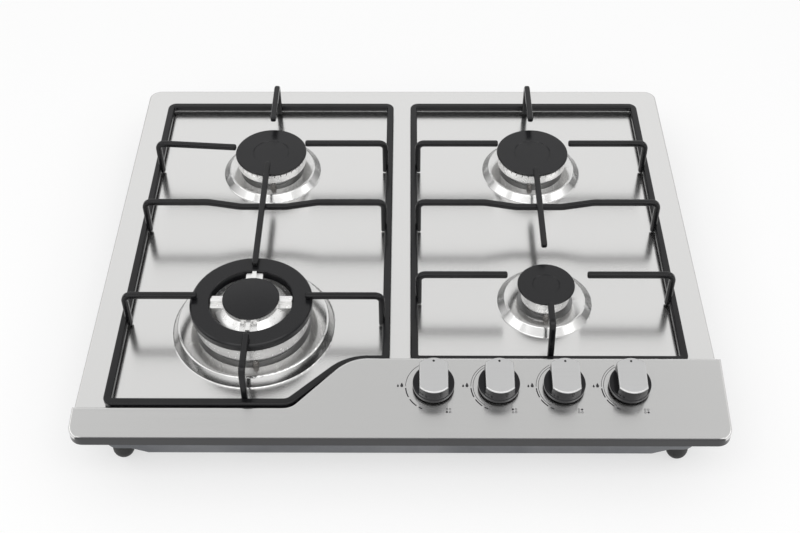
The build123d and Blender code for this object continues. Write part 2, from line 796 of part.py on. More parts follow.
def large_crown():
    """Flame spreader of the large burner: outer channel, inner crown and four arms."""
    low, high = deck + front_left.crown_low, deck + front_left.crown_high
    seat = bowl_floor + seat_clearance
    outer, inner, wall = front_left.crown, channel_inner, channel_wall
    skirt = front_left.skirt
    bottom = low - crown_cone
    channel = turned([(skirt - crown_floor, seat), (skirt, seat), (skirt, bottom), (outer, low),
                      (outer, high), (outer - wall, high), (outer - wall, low + crown_floor),
                      (inner + wall, low + crown_floor), (inner + wall, high), (inner, high),
                      (inner, low), (skirt - crown_floor, bottom)])
    core_floor, core_top = deck + core_low, deck + core_high
    inside = core_radius - core_wall
    venturi = venturi_bore + venturi_wall
    core = turned([(venturi_bore, seat - venturi_drop), (venturi, seat - venturi_drop),
                   (venturi, core_floor - crown_floor), (core_radius, core_floor),
                   (core_radius, core_top), (inside, core_top), (inside, core_floor + crown_floor),
                   (venturi_bore, core_floor + crown_floor)])
    crown = channel + core
    for arm in bridge_arms():
        crown += arm
    for port in flame_ports(front_left.ports, outer - wall / 2, wall, high):
        crown -= port
    hole = Pos(core_radius, 0, core_top - 2 * wall_port_diameter) * Rot(0, 90, 0) * Cylinder(
        wall_port_diameter / 2, 3 * core_wall)
    for step in range(core_ports):
        crown -= Rot(0, 0, 360 * (step + 0.5) / core_ports) * hole
    return Pos(front_left.x, front_left.y, 0) * crown


def large_outer_cap():
    """Enamelled ring over the outer channel of the large burner."""
    seat = deck + front_left.crown_high + seat_clearance
    low, high = deck + front_left.cap_low, deck + front_left.cap_high
    edge, hole = front_left.cap, outer_cap_hole
    inside, roof = channel_inner + channel_wall, seat + outer_cap_hollow
    ring = turned([(hole, seat), (inside, seat), (inside, roof), (front_left.throat, roof),
                   (front_left.throat, seat), (front_left.crown, seat), (edge, low),
                   (edge, high - outer_cap_edge), (edge - cap_bevel, high - cap_bevel),
                   (edge - outer_cap_edge, high), (hole + cap_bevel, high), (hole, high - cap_bevel)])
    return Pos(front_left.x, front_left.y, 0) * ring


def large_inner_cap():
    """Domed enamelled cap over the inner crown of the large burner."""
    seat = deck + core_high + seat_clearance
    low = deck + core_cap_low
    edge_top = low + core_cap_edge
    skirt = core_radius - core_wall - slide_clearance
    hollow, drop = skirt - cap_skirt, seat - cap_drop
    edge = core_cap - cap_bevel
    sphere = (edge ** 2 + core_cap_dome ** 2) / (2 * core_cap_dome)
    middle = edge_top + core_cap_dome - sphere + (sphere ** 2 - edge ** 2 / 4) ** 0.5
    arc = ThreePointArc((edge, edge_top), (edge / 2, middle), (0, edge_top + core_cap_dome))
    side = Polyline((0, edge_top + core_cap_dome), (0, low), (hollow, low), (hollow, drop),
                    (skirt, drop), (skirt, seat), (core_radius - core_cap_rest, seat), (edge, low),
                    (core_cap, low + cap_bevel), (core_cap, edge_top - cap_bevel), (edge, edge_top))
    return Pos(front_left.x, front_left.y, 0) * revolve(Plane.XZ * make_face(arc + side), axis=Axis.Z)


# ---------------------------------------------------------------- knobs and valves
def d_section(radius, flat):
    """Round section with one flat."""
    return Circle(radius) - Pos(0, flat + radius) * Rectangle(4 * radius, 2 * radius)


def knob():
    """Knob with a round skirt, two flats for the fingers and a bore for the spindle."""
    radius = knob_diameter / 2
    skirt = cylinder(radius, knob_gap, knob_skirt_top)
    skirt = fillet(skirt.faces().sort_by(Axis.Z)[-1].edges(), knob_edge)
    grip_face = Circle(radius - knob_edge / 4) & Rectangle(knob_grip_width, 2 * radius)
    grip = Pos(0, 0, knob_gap) * extrude(grip_face, amount=knob_top - knob_gap, taper=knob_grip_slope)
    grip = fillet(grip.faces().sort_by(Axis.Z)[-1].edges(), knob_edge)
    hollow = cylinder(radius - knob_wall, knob_gap, knob_skirt_top - knob_wall)
    hub = cylinder(knob_hub_radius, knob_gap, knob_skirt_top)
    bore = Pos(0, 0, knob_gap) * extrude(d_section(spindle_radius + knob_fit, spindle_flat + knob_fit),
                                         amount=spindle_top + slide_clearance - knob_gap)
    mark = cylinder(knob_mark_radius, knob_top - knob_mark_depth, knob_top + knob_edge, 0,
                    knob_mark_offset)
    return skirt + grip - hollow + hub - bore - mark


def spindle():
    """Valve spindle with a flat for the knob and a tongue that turns the plug."""
    shaft = Pos(0, 0, -spindle_low) * extrude(Circle(spindle_radius), amount=spindle_low + knob_gap)
    head = Pos(0, 0, knob_gap) * extrude(d_section(spindle_radius, spindle_flat),
                                         amount=spindle_top - knob_gap)
    tongue = Pos(0, 0, -spindle_low - tongue_length) * Box(
        2 * (spindle_radius - tongue_inset), tongue_width, tongue_length,
        align=(Align.CENTER, Align.CENTER, Align.MIN))
    return shaft + head + tongue


def valve_plug():
    """Tapered plug with a slot for the spindle and a gas port."""
    height = plug_bottom - plug_top
    plug = Pos(0, 0, -plug_bottom) * Cone(plug_low_radius, plug_top_radius, height,
                                          align=(Align.CENTER, Align.CENTER, Align.MIN))
    slot = Pos(0, 0, -plug_top) * Box(2 * spindle_radius, tongue_width + 2 * slide_clearance,
                                      2 * (tongue_length + push_travel))
    port = Pos(0, 0, -outlet_level) * Rot(90, 0, 0) * Cylinder(plug_port_radius, 4 * plug_top_radius)
    return plug - slot - port


def valve_body():
    """Valve body with its bonnet, plug seat, outlet boss and saddle on the gas rail."""
    upright = (Align.CENTER, Align.CENTER, Align.MIN)
    block = Pos(0, 0, -valve_bottom) * Box(valve_width, valve_depth, valve_bottom - valve_top, align=upright)
    block = fillet(block.edges().filter_by(Axis.Z), valve_round)
    bonnet = cylinder(bonnet_radius, -valve_top, -bonnet_top)
    bonnet = fillet(bonnet.faces().sort_by(Axis.Z)[-1].edges(), valve_round / 2)
    outlet = Pos(0, 0, -outlet_level) * Rot(-90, 0, 0) * Cylinder(outlet_radius, outlet_reach, align=upright)
    saddle = Pos(0, -valve_depth / 2, -rail_level) * Box(
        saddle_width, 2 * (rail_offset - valve_depth / 2), saddle_height)
    seat = Pos(0, 0, -plug_bottom - slide_clearance) * Cone(
        plug_low_radius + slide_clearance, plug_top_radius + slide_clearance,
        plug_bottom - plug_top + slide_clearance, align=upright)
    neck = cylinder(plug_top_radius + slide_clearance, -plug_top, -valve_top)
    bore = cylinder(spindle_radius + slide_clearance, -plug_top, -bonnet_top)
    passage = Pos(0, plug_low_radius, -outlet_level) * Rot(-90, 0, 0) * Cylinder(
        tube_radius - tube_wall, outlet_reach, align=upright)
    rail = Pos(0, -rail_offset, -rail_level) * Rot(0, 90, 0) * Cylinder(
        rail_radius + rail_fit, 2 * valve_width)
    feed = Pos(0, -plug_low_radius, -rail_level) * Rot(90, 0, 0) * Cylinder(
        feed_radius, rail_offset, align=upright)
    return block + bonnet + outlet + saddle - seat - neck - bore - passage - rail - feed


def ignition_switch():
    """Small switch clipped to the side of a valve, closed when the knob is pushed."""
    width, depth, height = switch_size
    case = Pos(valve_width / 2 + width / 2, 0, -switch_top - height / 2) * Box(width, depth, height)
    return fillet(case.edges().filter_by(Axis.Z), switch_round)


# ---------------------------------------------------------------- gas pipes and ignition
def rail_point(x):
    """Point on the gas rail's axis."""
    point = knob_plane(0).from_local_coords(Vector(0, -rail_offset, -rail_level))
    return (x, point.Y, point.Z)


def gas_rail():
    """Straight rail that feeds the four valves, closed at its left end."""
    start, end = rail_point(knob_x(0) - rail_left_reach), rail_point(rail_end)
    plug = Pos(*start) * Rot(0, 90, 0) * Cylinder(
        rail_radius, 3 * rail_wall, align=(Align.CENTER, Align.CENTER, Align.MIN))
    return round_tube([start, end], 0, rail_radius, rail_wall) + plug


def inlet_pipe():
    """Pipe from the rail's right end back to the inlet elbow."""
    _, y, z = rail_point(rail_end)
    return round_tube([rail_point(rail_end), (pipe_x, y, z), (pipe_x, inlet_y - elbow_leg, z)],
                      pipe_bend, rail_radius, rail_wall)


def gas_inlet_elbow():
    """Brass elbow with a flange on the tray and the threaded inlet below it."""
    upright = (Align.CENTER, Align.CENTER, Align.MIN)
    _, _, level = rail_point(rail_end)
    floor = tray_bottom + tray_sheet
    thread_high = tray_bottom - inlet_neck_length
    thread_low = thread_high - inlet_thread_length
    leg = Pos(0, -elbow_leg, level) * Rot(-90, 0, 0)
    forward = leg * Cylinder(rail_radius + elbow_wall, elbow_leg, align=upright)
    knuckle = cylinder(inlet_thread_radius, floor, level + rail_radius)
    knuckle = fillet(knuckle.faces().sort_by(Axis.Z)[-1].edges(), elbow_round)
    flange = cylinder(inlet_flange_radius, floor, floor + inlet_flange_height)
    neck = cylinder(inlet_neck_radius, thread_high, floor)
    thread = cylinder(inlet_thread_radius, thread_low, thread_high)
    bore = cylinder(rail_radius - rail_wall, thread_low, level)
    across = leg * Cylinder(rail_radius - rail_wall, elbow_leg, align=upright)
    return Pos(pipe_x, inlet_y, 0) * (forward + knuckle + flange + neck + thread - bore - across)


def bypass_route():
    """Corners of the tube that passes the front right burner on its inner side."""
    x, beside = knob_x(2), front_right.x - tube_bypass
    turn, end = knob_y + tube_lead_out, rear_right.y - tube_lead_in
    return [(x, turn), (beside, turn + x - beside), (beside, end - tube_bypass), (rear_right.x, end),
            (rear_right.x, rear_right.y - inlet_boss_reach)]


tube_routes = (
    (front_left, 0, [(knob_x(0), front_left.y), (front_left.x + inlet_boss_reach, front_left.y)]),
    (rear_left, 1, [(knob_x(1), rear_left.y - tube_diagonal), (knob_x(1) - tube_diagonal, rear_left.y),
                    (rear_left.x + inlet_boss_reach, rear_left.y)]),
    (rear_right, 2, bypass_route()),
    (front_right, 3, [(knob_x(3), front_right.y), (front_right.x + inlet_boss_reach, front_right.y)]),
)


def gas_tube(index, corners):
    """Aluminium tube from a valve's outlet to the inlet boss of a burner's cup."""
    start, bend = tube_start(index)
    points = [start, bend] + [(x, y, tube_level) for x, y in corners]
    return round_tube([tuple(point) for point in points], tube_bend, tube_radius, tube_wall)


def terminal_place(index):
    """Place of one high-voltage terminal on the spark generator."""
    width, depth, _ = generator_size
    x = generator_place[0] + (index - 1.5) * width / 5
    return x, generator_place[1] + depth / 4


def spark_generator():
    """Plastic case of the spark generator, with a terminal for each burner."""
    width, depth, height = generator_size
    x, y = generator_place
    case = Pos(x, y, well_floor) * Box(width, depth, height, align=(Align.CENTER, Align.CENTER, Align.MIN))
    case = fillet(case.edges().filter_by(Axis.Z) + case.faces().sort_by(Axis.Z)[-1].edges(), generator_round)
    for index in range(len(burners)):
        place = terminal_place(index)
        case += cylinder(terminal_radius, well_floor + height / 2, well_floor + height + terminal_height,
                         *place)
    return case


def ignition_lead(index):
    """Insulated lead from a terminal of the generator across to a burner's electrode."""
    burner = tube_routes[index][0]
    start = terminal_place(index)
    spark_x, spark_y = electrode_place(burner)
    end = (burner.x + spark_x, burner.y + spark_y)
    corner = (end[0] - (lead_run if burner.x > 0 else -lead_run), end[1])
    low, high = well_floor + generator_size[2] + terminal_height, collar_top - electrode_drop
    level = tube_level + lead_rise
    points = [(*start, low), (*start, level), (*corner, level), (*end, level), (*end, high)]
    path = FilletPolyline(*points, radius=lead_bend)
    return sweep(Plane(origin=path @ 0, z_dir=path % 0) * Circle(lead_radius), path=path)


# ---------------------------------------------------------------- assembly
def all_pieces():
    """Every sub-part under its node name; a list holds a group of separate solids."""
    pieces = {"top_plate": top_plate(), "bottom_tray": bottom_tray(), "worktop_seal": worktop_seal()}
    for side, sign in (("left", -1), ("right", 1)):
        for end, along in (("front", -1), ("rear", 1)):
            pieces[f"foot_{end}_{side}"] = foot(sign * foot_x, along * foot_y)
        pieces[f"{side}_support_frame"] = support_frame(side)
        pieces[f"{side}_support_bridge"] = support_bridge(side)
        pieces[f"{side}_support_fingers"] = support_fingers(side)
        pieces[f"{side}_support_pads"] = support_pads(side)
    for burner in burners:
        pieces[f"{burner.name}_burner_cup"] = burner_cup(burner)
        pieces[f"{burner.name}_electrode"] = spark_electrode(burner)
    for burner in ring_burners:
        pieces[f"{burner.name}_crown"] = ring_crown(burner)
        pieces[f"{burner.name}_cap"] = ring_cap(burner)
    pieces["front_left_crown"] = large_crown()
    pieces["front_left_outer_cap"] = large_outer_cap()
    pieces["front_left_inner_cap"] = large_inner_cap()
    pieces["injectors"] = [injector(burner) for burner in burners]
    knob_shape, spindle_shape, plug_shape, body_shape = knob(), spindle(), valve_plug(), valve_body()
    for burner, index, corners in tube_routes:
        place = knob_plane(index).location
        pieces[f"{burner.name}_knob"] = place * knob_shape
        pieces[f"{burner.name}_spindle"] = place * spindle_shape
        pieces[f"{burner.name}_valve_plug"] = place * plug_shape
        pieces[f"{burner.name}_valve_body"] = place * body_shape
        pieces[f"{burner.name}_gas_tube"] = gas_tube(index, corners)
    switch = ignition_switch()
    pieces["ignition_switches"] = [knob_plane(index).location * switch for index in range(knob_count)]
    pieces["gas_rail"] = gas_rail()
    pieces["inlet_pipe"] = inlet_pipe()
    pieces["gas_inlet_elbow"] = gas_inlet_elbow()
    pieces["spark_generator"] = spark_generator()
    pieces["ignition_leads"] = [ignition_lead(index) for index in range(len(burners))]
    return pieces


os.makedirs("parts", exist_ok=True)
for node, piece in all_pieces().items():
    shape = Compound(children=piece) if isinstance(piece, list) else piece
    export_step(shape, f"parts/{node}.step")
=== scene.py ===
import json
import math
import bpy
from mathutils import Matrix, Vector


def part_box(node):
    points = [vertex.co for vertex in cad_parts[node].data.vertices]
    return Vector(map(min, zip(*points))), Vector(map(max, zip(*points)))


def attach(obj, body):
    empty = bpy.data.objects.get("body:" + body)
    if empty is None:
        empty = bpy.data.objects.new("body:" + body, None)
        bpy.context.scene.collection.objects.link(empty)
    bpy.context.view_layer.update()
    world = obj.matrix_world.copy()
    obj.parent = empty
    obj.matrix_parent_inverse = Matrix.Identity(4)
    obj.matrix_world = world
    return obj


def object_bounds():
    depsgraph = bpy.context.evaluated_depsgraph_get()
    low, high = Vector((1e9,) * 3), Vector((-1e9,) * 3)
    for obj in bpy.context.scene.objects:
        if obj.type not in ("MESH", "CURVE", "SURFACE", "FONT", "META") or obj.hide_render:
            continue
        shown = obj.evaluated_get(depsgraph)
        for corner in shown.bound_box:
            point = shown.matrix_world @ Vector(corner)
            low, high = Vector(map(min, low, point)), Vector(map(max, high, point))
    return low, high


bl_info = {
    "name": "Gas cooktop finishes",
    "version": (1, 0, 0),
    "blender": (4, 5, 0),
    "location": "View3D > Sidebar > Cooktop",
    "description": "Finishes, printed marks, small fittings and a studio for a built-in gas cooktop",
    "category": "Object",
}

import bmesh
import bpy
from bpy.props import FloatProperty, FloatVectorProperty, IntProperty, PointerProperty
from mathutils import Matrix, Vector

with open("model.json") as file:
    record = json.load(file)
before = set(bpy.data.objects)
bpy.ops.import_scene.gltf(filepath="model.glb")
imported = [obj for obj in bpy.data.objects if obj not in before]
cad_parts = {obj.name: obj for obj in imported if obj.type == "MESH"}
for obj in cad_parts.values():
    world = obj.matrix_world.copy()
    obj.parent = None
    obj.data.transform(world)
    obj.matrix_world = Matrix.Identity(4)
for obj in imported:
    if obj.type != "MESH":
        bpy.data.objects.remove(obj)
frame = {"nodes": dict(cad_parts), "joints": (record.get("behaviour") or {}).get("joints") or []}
CAD_BOX = [list(corner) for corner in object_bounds()]
NODES = frame["nodes"]
BURNERS = ("front_left", "rear_left", "rear_right", "front_right")  # in the order of their knobs
KNOB_JOINTS = {joint["name"].removesuffix("_knob_turn"): joint for joint in frame["joints"]
               if joint["name"].endswith("_knob_turn")}

# Lengths are in metres. A span is where a change starts and where it ends.
# Plate and tray; a ring's reach is its outer radius
RING_REACH = {"front_left": 0.0773, "rear_left": 0.0525, "rear_right": 0.0525, "front_right": 0.0463}
RIM_SHADE_SPAN = (0.0553, 0.0566)  # heights between which the painted shade on the rim fades out
FRONT_SHADE_SPAN = (0.0012, 0.0019)  # the same, inwards from the rim's front face
# near-black of the painted shade on the rim, which stands in for the dark surroundings the rim would
# reflect
RIM_SHADE_COLOUR = (0.05, 0.05, 0.052)
# zinc coat darkened well below bare zinc: painted shade for the tray under the plate
TRAY_ZINC_AND_SHADE = (0.17, 0.175, 0.185)
TRAY_LEDGE = 0.006  # height of the tray's rear ledge above its well
SCREW_PLACES = [(x, y) for x in (-0.12, 0.12) for y in (-0.229, 0.229)]
CROSS_SIZE = (0.0036, 0.0008, 0.0012)  # one slot of a screw's cross

# Burners
CROWN_METAL = (0.96, 0.955, 0.945)
CROWN_SHARE = 0.6  # share of bare metal in the crowns' finish
CUP_METAL = (0.28, 0.28, 0.28)
LIP_SHARE = 0.06  # the skirt's upper lip, as a share of its height
PORT_ROW = (0.34, 0.46)  # its row of ports, likewise
PORT_STEP = 4  # faces from one port to the next
PORT_TAPER = 0.00002
GLAZE, DARK_GLAZE, PIN_STEEL = (0.22, 0.21, 0.20), (0.16, 0.15, 0.14), (0.45, 0.44, 0.43)
PIN_HEIGHT, PIN_BLEND = 0.001, 0.0001  # the bare end of an electrode, and half the blend below it

# Gas train
BRASS, DULL_BRASS = (0.72, 0.55, 0.27), (0.62, 0.47, 0.23)
THREAD_TOP, THREAD_PITCH, THREAD_DEPTH = 0.019, 0.001814, 0.0012

# Knobs, measured along their axis from the panel
KNOB_TOP = 0.0210
KNOB_EDGE = 0.0012  # height of the rounded edge of the face
KNOB_ROUGHNESS = (0.16, 0.34)  # sides, face
POINTER_OFFSET = 0.0145
POINTER_HEIGHT, POINTER_SINK = 0.00034, 0.00006
SEAL_LIFT = 0.0001

# Printed marks around a knob: arcs in degrees, counter-clockwise from the right
PRINT_LIFT = 0.00006
INNER_ARC, OUTER_ARC = (112, 236), (118, 180)
DASHES = ((184, 208), (211, 233), (236, 246))
FLAMES = ((-0.0287, 0.0005, 0.0028), (-0.0322, 0.0001, 0.0018))  # place and size of each
FLAME_STEPS = ((0.15, 0.25), (0.6, 0.35), (0.93, 0.55))  # where a flame is narrowed, and how far raised
FLAME_TAPER = 0.35
SIGN_PLACE, SIGN_DOT = (0.0118, -0.0262), 0.001
RING_SHARE = 0.38  # thickness of an unfilled dot, as a share of its radius

# Noise: the part of its range that is used, and the share of the finer one in the brushing
NOISE_SPAN, GRAIN_SPAN, FINE_SHARE = (0.35, 0.65), (0.3, 0.7), 0.6
BRUSH_ROUGHNESS = 0.012  # how far brushing lines change the roughness
PATCH_SHARE = 0.035  # scale of a grain's broad patches, as a share of its own

# Studio: place, aim and size of each lamp, and spans of the surroundings as a direction's Z or Y
FLOOR_DROP, SENSOR_WIDTH = 0.0003, 36.0
LAMPS = {
    "key_lamp": ((0.0, -0.75, 1.75), (0.0, -0.1, 0.0), (2.2, 0.8)),
    "left_lamp": ((-1.5, -0.2, 1.3), (0.0, 0.0, 0.05), (1.6, 0.35)),
    "right_lamp": ((1.5, -0.5, 1.1), (0.0, 0.0, 0.05), (1.4, 0.3)),
}
HORIZON_SPAN, WALL_SPAN, SKY_SPAN, TOP_SPAN = (0.06, 0.14), (0.15, 0.52), (0.58, 0.82), (0.84, 0.96)
BEHIND_SPAN = (-0.85, -0.45)


# ---------------------------------------------------------------- settings
class SteelSettings(bpy.types.PropertyGroup):
    """Brushed steel of the plate and the knobs."""

    colour: FloatVectorProperty(name="Steel colour", description="Reflected colour of the plate",
                                subtype="COLOR", size=3, min=0, max=1, default=(0.76, 0.757, 0.75))
    roughness: FloatProperty(name="Roughness", description="Blur of reflections in the plate",
                             subtype="FACTOR", min=0, max=1, default=0.2)
    stretch: FloatProperty(name="Stretch", description="How far reflections are drawn across the brushing",
                           subtype="FACTOR", min=0, max=1, default=0.62)
    streak_shade: FloatProperty(name="Streak shade", description="How far brushing lines darken the steel",
                                subtype="FACTOR", min=0, max=1, default=0.007)
    streak_length: FloatProperty(name="Streak length", description="Usual length of one brushing line",
                                 unit="LENGTH", min=0.001, default=0.25)
    streak_width: FloatProperty(name="Streak width", description="Usual width of one brushing line",
                                unit="LENGTH", min=0.0001, default=0.0006)
    polish: FloatProperty(name="Ring polish", description="How much smoother the pressed rings are",
                          subtype="FACTOR", min=0, max=1, default=0.02)
    # painted shade: how far the turned-down rim is darkened, standing in for the dark surroundings it would
    # reflect
    rim_painted_shade: FloatProperty(name="Rim shade", description="Darkness of the turned-down rim",
                             subtype="FACTOR", min=0, max=1, default=0.96)
    knob_top: FloatVectorProperty(name="Knob top", description="Satin face of a knob",
                                  subtype="COLOR", size=3, min=0, max=1, default=(0.70, 0.70, 0.70))
    # painted shade: the sides' near-black colour stands in for the dark surroundings that their polished
    # metal reflects
    knob_side_painted_shade: FloatVectorProperty(name="Knob side", description="Polished side of a knob",
                                   subtype="COLOR", size=3, min=0, max=1, default=(0.04, 0.04, 0.042))


class EnamelSettings(bpy.types.PropertyGroup):
    """Black enamel on the pan supports and the burner caps."""

    bar_colour: FloatVectorProperty(name="Support colour", description="Enamel of the pan supports",
                                    subtype="COLOR", size=3, min=0, max=1, default=(0.008, 0.008, 0.009))
    cap_colour: FloatVectorProperty(name="Cap colour", description="Enamel of the burner caps",
                                    subtype="COLOR", size=3, min=0, max=1, default=(0.009, 0.009, 0.010))
    grain: FloatProperty(name="Grain size", description="Size of the enamel's grain",
                         unit="LENGTH", min=0.0001, default=0.0009)


class CrownSettings(bpy.types.PropertyGroup):
    """Flared skirt of the large burner's inner crown."""

    skirt_top: FloatProperty(name="Top radius", description="Radius below the inner cap",
                             unit="LENGTH", min=0.001, default=0.0262)
    skirt_foot: FloatProperty(name="Foot radius", description="Radius at the foot of the skirt",
                              unit="LENGTH", min=0.001, default=0.0346)
    skirt_drop: FloatProperty(name="Drop", description="Height of the skirt",
                              unit="LENGTH", min=0.001, default=0.0056)
    skirt_gap: FloatProperty(name="Gap", description="Gap between the cap and the skirt",
                             unit="LENGTH", min=0, default=0.0008)
    skirt_wall: FloatProperty(name="Wall", description="Thickness of the skirt",
                              unit="LENGTH", min=0.0001, default=0.0009)
    skirt_steps: IntProperty(name="Steps", description="Faces around the skirt", min=24, default=144)
    port_margin: FloatProperty(name="Port margin", description="Metal left around a port in its face",
                               unit="LENGTH", min=0, default=0.00018)
    port_depth: FloatProperty(name="Port depth", description="Depth of a port",
                              unit="LENGTH", min=0, default=0.0007)


class PrintSettings(bpy.types.PropertyGroup):
    """Marks printed on the control panel around each knob."""

    ink: FloatVectorProperty(name="Ink", description="Colour of the printed marks",
                             subtype="COLOR", size=3, min=0, max=1, default=(0.025, 0.025, 0.027))
    inner_radius: FloatProperty(name="Inner arc", description="Radius of the inner line",
                                unit="LENGTH", min=0.001, default=0.0232)
    outer_radius: FloatProperty(name="Outer arc", description="Radius of the outer line and the dashes",
                                unit="LENGTH", min=0.001, default=0.0252)
    line: FloatProperty(name="Line", description="Width of the thin lines",
                        unit="LENGTH", min=0.0001, default=0.00045)
    dash: FloatProperty(name="Dash", description="Width of the thick dashes",
                        unit="LENGTH", min=0.0001, default=0.0011)
    dot_pitch: FloatProperty(name="Dot pitch", description="Distance between the dots of the burner sign",
                             unit="LENGTH", min=0.0005, default=0.0028)


class FittingSettings(bpy.types.PropertyGroup):
    """Knob seals, pointer dots and tray screws."""

    seal_radius: FloatProperty(name="Seal radius", description="Radius of the seal under a knob",
                               unit="LENGTH", min=0.001, default=0.0165)
    seal_width: FloatProperty(name="Seal width", description="Width of the seal from its edge to its hole",
                              unit="LENGTH", min=0.001, default=0.0094)
    seal_height: FloatProperty(name="Seal height", description="Thickness of the seal",
                               unit="LENGTH", min=0.0002, default=0.0016)
    pointer: FloatProperty(name="Pointer dot", description="Radius of the dot in a knob's face",
                           unit="LENGTH", min=0.0002, default=0.00105)
    screw_radius: FloatProperty(name="Screw radius", description="Radius of a tray screw's head",
                                unit="LENGTH", min=0.001, default=0.0032)
    screw_height: FloatProperty(name="Screw height", description="Height of a tray screw's head",
                                unit="LENGTH", min=0.0005, default=0.0018)


class StudioSettings(bpy.types.PropertyGroup):
    """Camera, floor, lamps and surroundings."""

    lens: FloatProperty(name="Lens", description="Focal length in millimetres",
                        unit="CAMERA", min=10, default=55.95)
    pitch: FloatProperty(name="Pitch", description="How far the camera looks down",
                         subtype="ANGLE", default=math.radians(44.76))
    yaw: FloatProperty(name="Yaw", description="How far the camera looks to the left",
                       subtype="ANGLE", default=math.radians(0.585))
    roll: FloatProperty(name="Roll", description="Tilt of the camera's horizon",
                        subtype="ANGLE", default=math.radians(0.326))
    place: FloatVectorProperty(name="Camera place", description="Where the camera stands",
                               unit="LENGTH", size=3, default=(0.0082, -0.9261, 0.9394))
    floor_half: FloatProperty(name="Floor half width", description="Half the width of the floor",
                              unit="LENGTH", min=1, default=14.0)
    floor_glow: FloatProperty(name="Floor glow", description="Share of plain white in the floor as seen",
                              subtype="FACTOR", min=0, max=1, default=0.62)
    floor_colour: FloatVectorProperty(name="Floor colour", description="Colour of the floor",
                                      subtype="COLOR", size=3, min=0, max=1, default=(0.97, 0.97, 0.97))
    key_power: FloatProperty(name="Key lamp", description="Power of the large lamp overhead, in watts",
                             min=0, default=7.5)
    fill_power: FloatProperty(name="Side lamps", description="Power of the lamp at either side, in watts",
                              min=0, default=1.6)
    sky_low: FloatProperty(name="Low sky", description="Strength of the surroundings up to half height",
                           min=0, default=1.03)
    sky_high: FloatProperty(name="High sky", description="Strength of the surroundings above that",
                            min=0, default=0.84)
    sky_top: FloatProperty(name="Top of the sky", description="Share of the high sky straight above",
                           min=0, default=0.71)
    sky_wall: FloatProperty(name="Walls", description="Share of the low sky just above the horizon",
                            min=0, default=0.16)
    sky_behind: FloatProperty(name="Behind the camera", description="The same share behind the camera",
                              min=0, default=0.95)


def settings(name):
    """Settings of one kind, from the scene."""
    return getattr(bpy.context.scene, name)


# ---------------------------------------------------------------- helpers for node trees
def make_group(name, inputs, outputs):
    """Empty node group: a vector and some values go in, and values come out."""
    group = bpy.data.node_groups.new(name, "ShaderNodeTree")
    group.interface.new_socket("Vector", in_out="INPUT", socket_type="NodeSocketVector")
    for label, value in inputs.items():
        socket = group.interface.new_socket(label, in_out="INPUT", socket_type="NodeSocketFloat")
        socket.default_value = value
    for label in outputs:
        group.interface.new_socket(label, in_out="OUTPUT", socket_type="NodeSocketFloat")
    return group, group.nodes.new("NodeGroupInput").outputs, group.nodes.new("NodeGroupOutput").inputs


def feed(tree, sockets, operands):
    """Link sockets, or set them to numbers or opaque colours, by label or index."""
    for label, operand in operands.items():
        if isinstance(operand, bpy.types.NodeSocket):
            tree.links.new(operand, sockets[label])
        elif isinstance(operand, (int, float)):
            sockets[label].default_value = operand
        else:
            sockets[label].default_value = (*operand, 1.0)


def math_node(tree, operation, *operands):
    """Result of a math node; each operand is a socket or a number."""
    node = tree.nodes.new("ShaderNodeMath")
    node.operation = operation
    feed(tree, node.inputs, dict(enumerate(operands)))
    return node.outputs[0]


def square_sum(tree, first, second):
    """Sum of the squares of two values."""
    return math_node(tree, "ADD", math_node(tree, "MULTIPLY", first, first),
                     math_node(tree, "MULTIPLY", second, second))


def ramp_value(tree, value, low_in, high_in, low_out, high_out):
    """Value carried from one range to another and held inside it."""
    node = tree.nodes.new("ShaderNodeMapRange")
    feed(tree, node.inputs, {"Value": value, "From Min": low_in, "From Max": high_in,
                             "To Min": low_out, "To Max": high_out})
    return node.outputs["Result"]


def mix_colour(tree, factor, first, second, blend="MIX"):
    """Mix of two colours; each is a socket or a tuple."""
    node = tree.nodes.new("ShaderNodeMix")
    node.data_type, node.blend_type = "RGBA", blend
    feed(tree, node.inputs, {"Factor": factor, 6: first, 7: second})
    return node.outputs[2]


def split(tree, vector):
    """X, Y and Z of a vector socket."""
    node = tree.nodes.new("ShaderNodeSeparateXYZ")
    tree.links.new(vector, node.inputs[0])
    return node.outputs


def noise(tree, vector, scale, detail=3.0, roughness=0.6):
    """Noise value at a vector socket."""
    node = tree.nodes.new("ShaderNodeTexNoise")
    feed(tree, node.inputs, {"Vector": vector, "Scale": scale, "Detail": detail, "Roughness": roughness})
    return node.outputs["Fac"]


def brushing_group():
    """Straight brushing lines: a shade, a change of roughness and a height."""
    group, start, end = make_group("brushing_lines", {"Along": 9.0, "Across": 1100.0, "Shade": 0.1},
                                   ("Shade", "Roughness", "Height"))
    parts = split(group, start["Vector"])
    drawn = group.nodes.new("ShaderNodeCombineXYZ")
    feed(group, drawn.inputs, {axis: math_node(group, "MULTIPLY", parts[axis], start[lines])
                               for axis, lines in (("X", "Along"), ("Y", "Across"), ("Z", "Along"))})
    fine = noise(group, drawn.outputs[0], 1.0, detail=4.0, roughness=0.65)
    wide = noise(group, drawn.outputs[0], 0.18)
    both = math_node(group, "ADD", math_node(group, "MULTIPLY", fine, FINE_SHARE),
                     math_node(group, "MULTIPLY", wide, 1 - FINE_SHARE))
    spread = ramp_value(group, both, *NOISE_SPAN, -1.0, 1.0)
    feed(group, end, {"Shade": math_node(group, "MULTIPLY_ADD", spread, start["Shade"], 1.0),
                      "Roughness": math_node(group, "MULTIPLY", spread, BRUSH_ROUGHNESS),
                      "Height": spread})
    return group


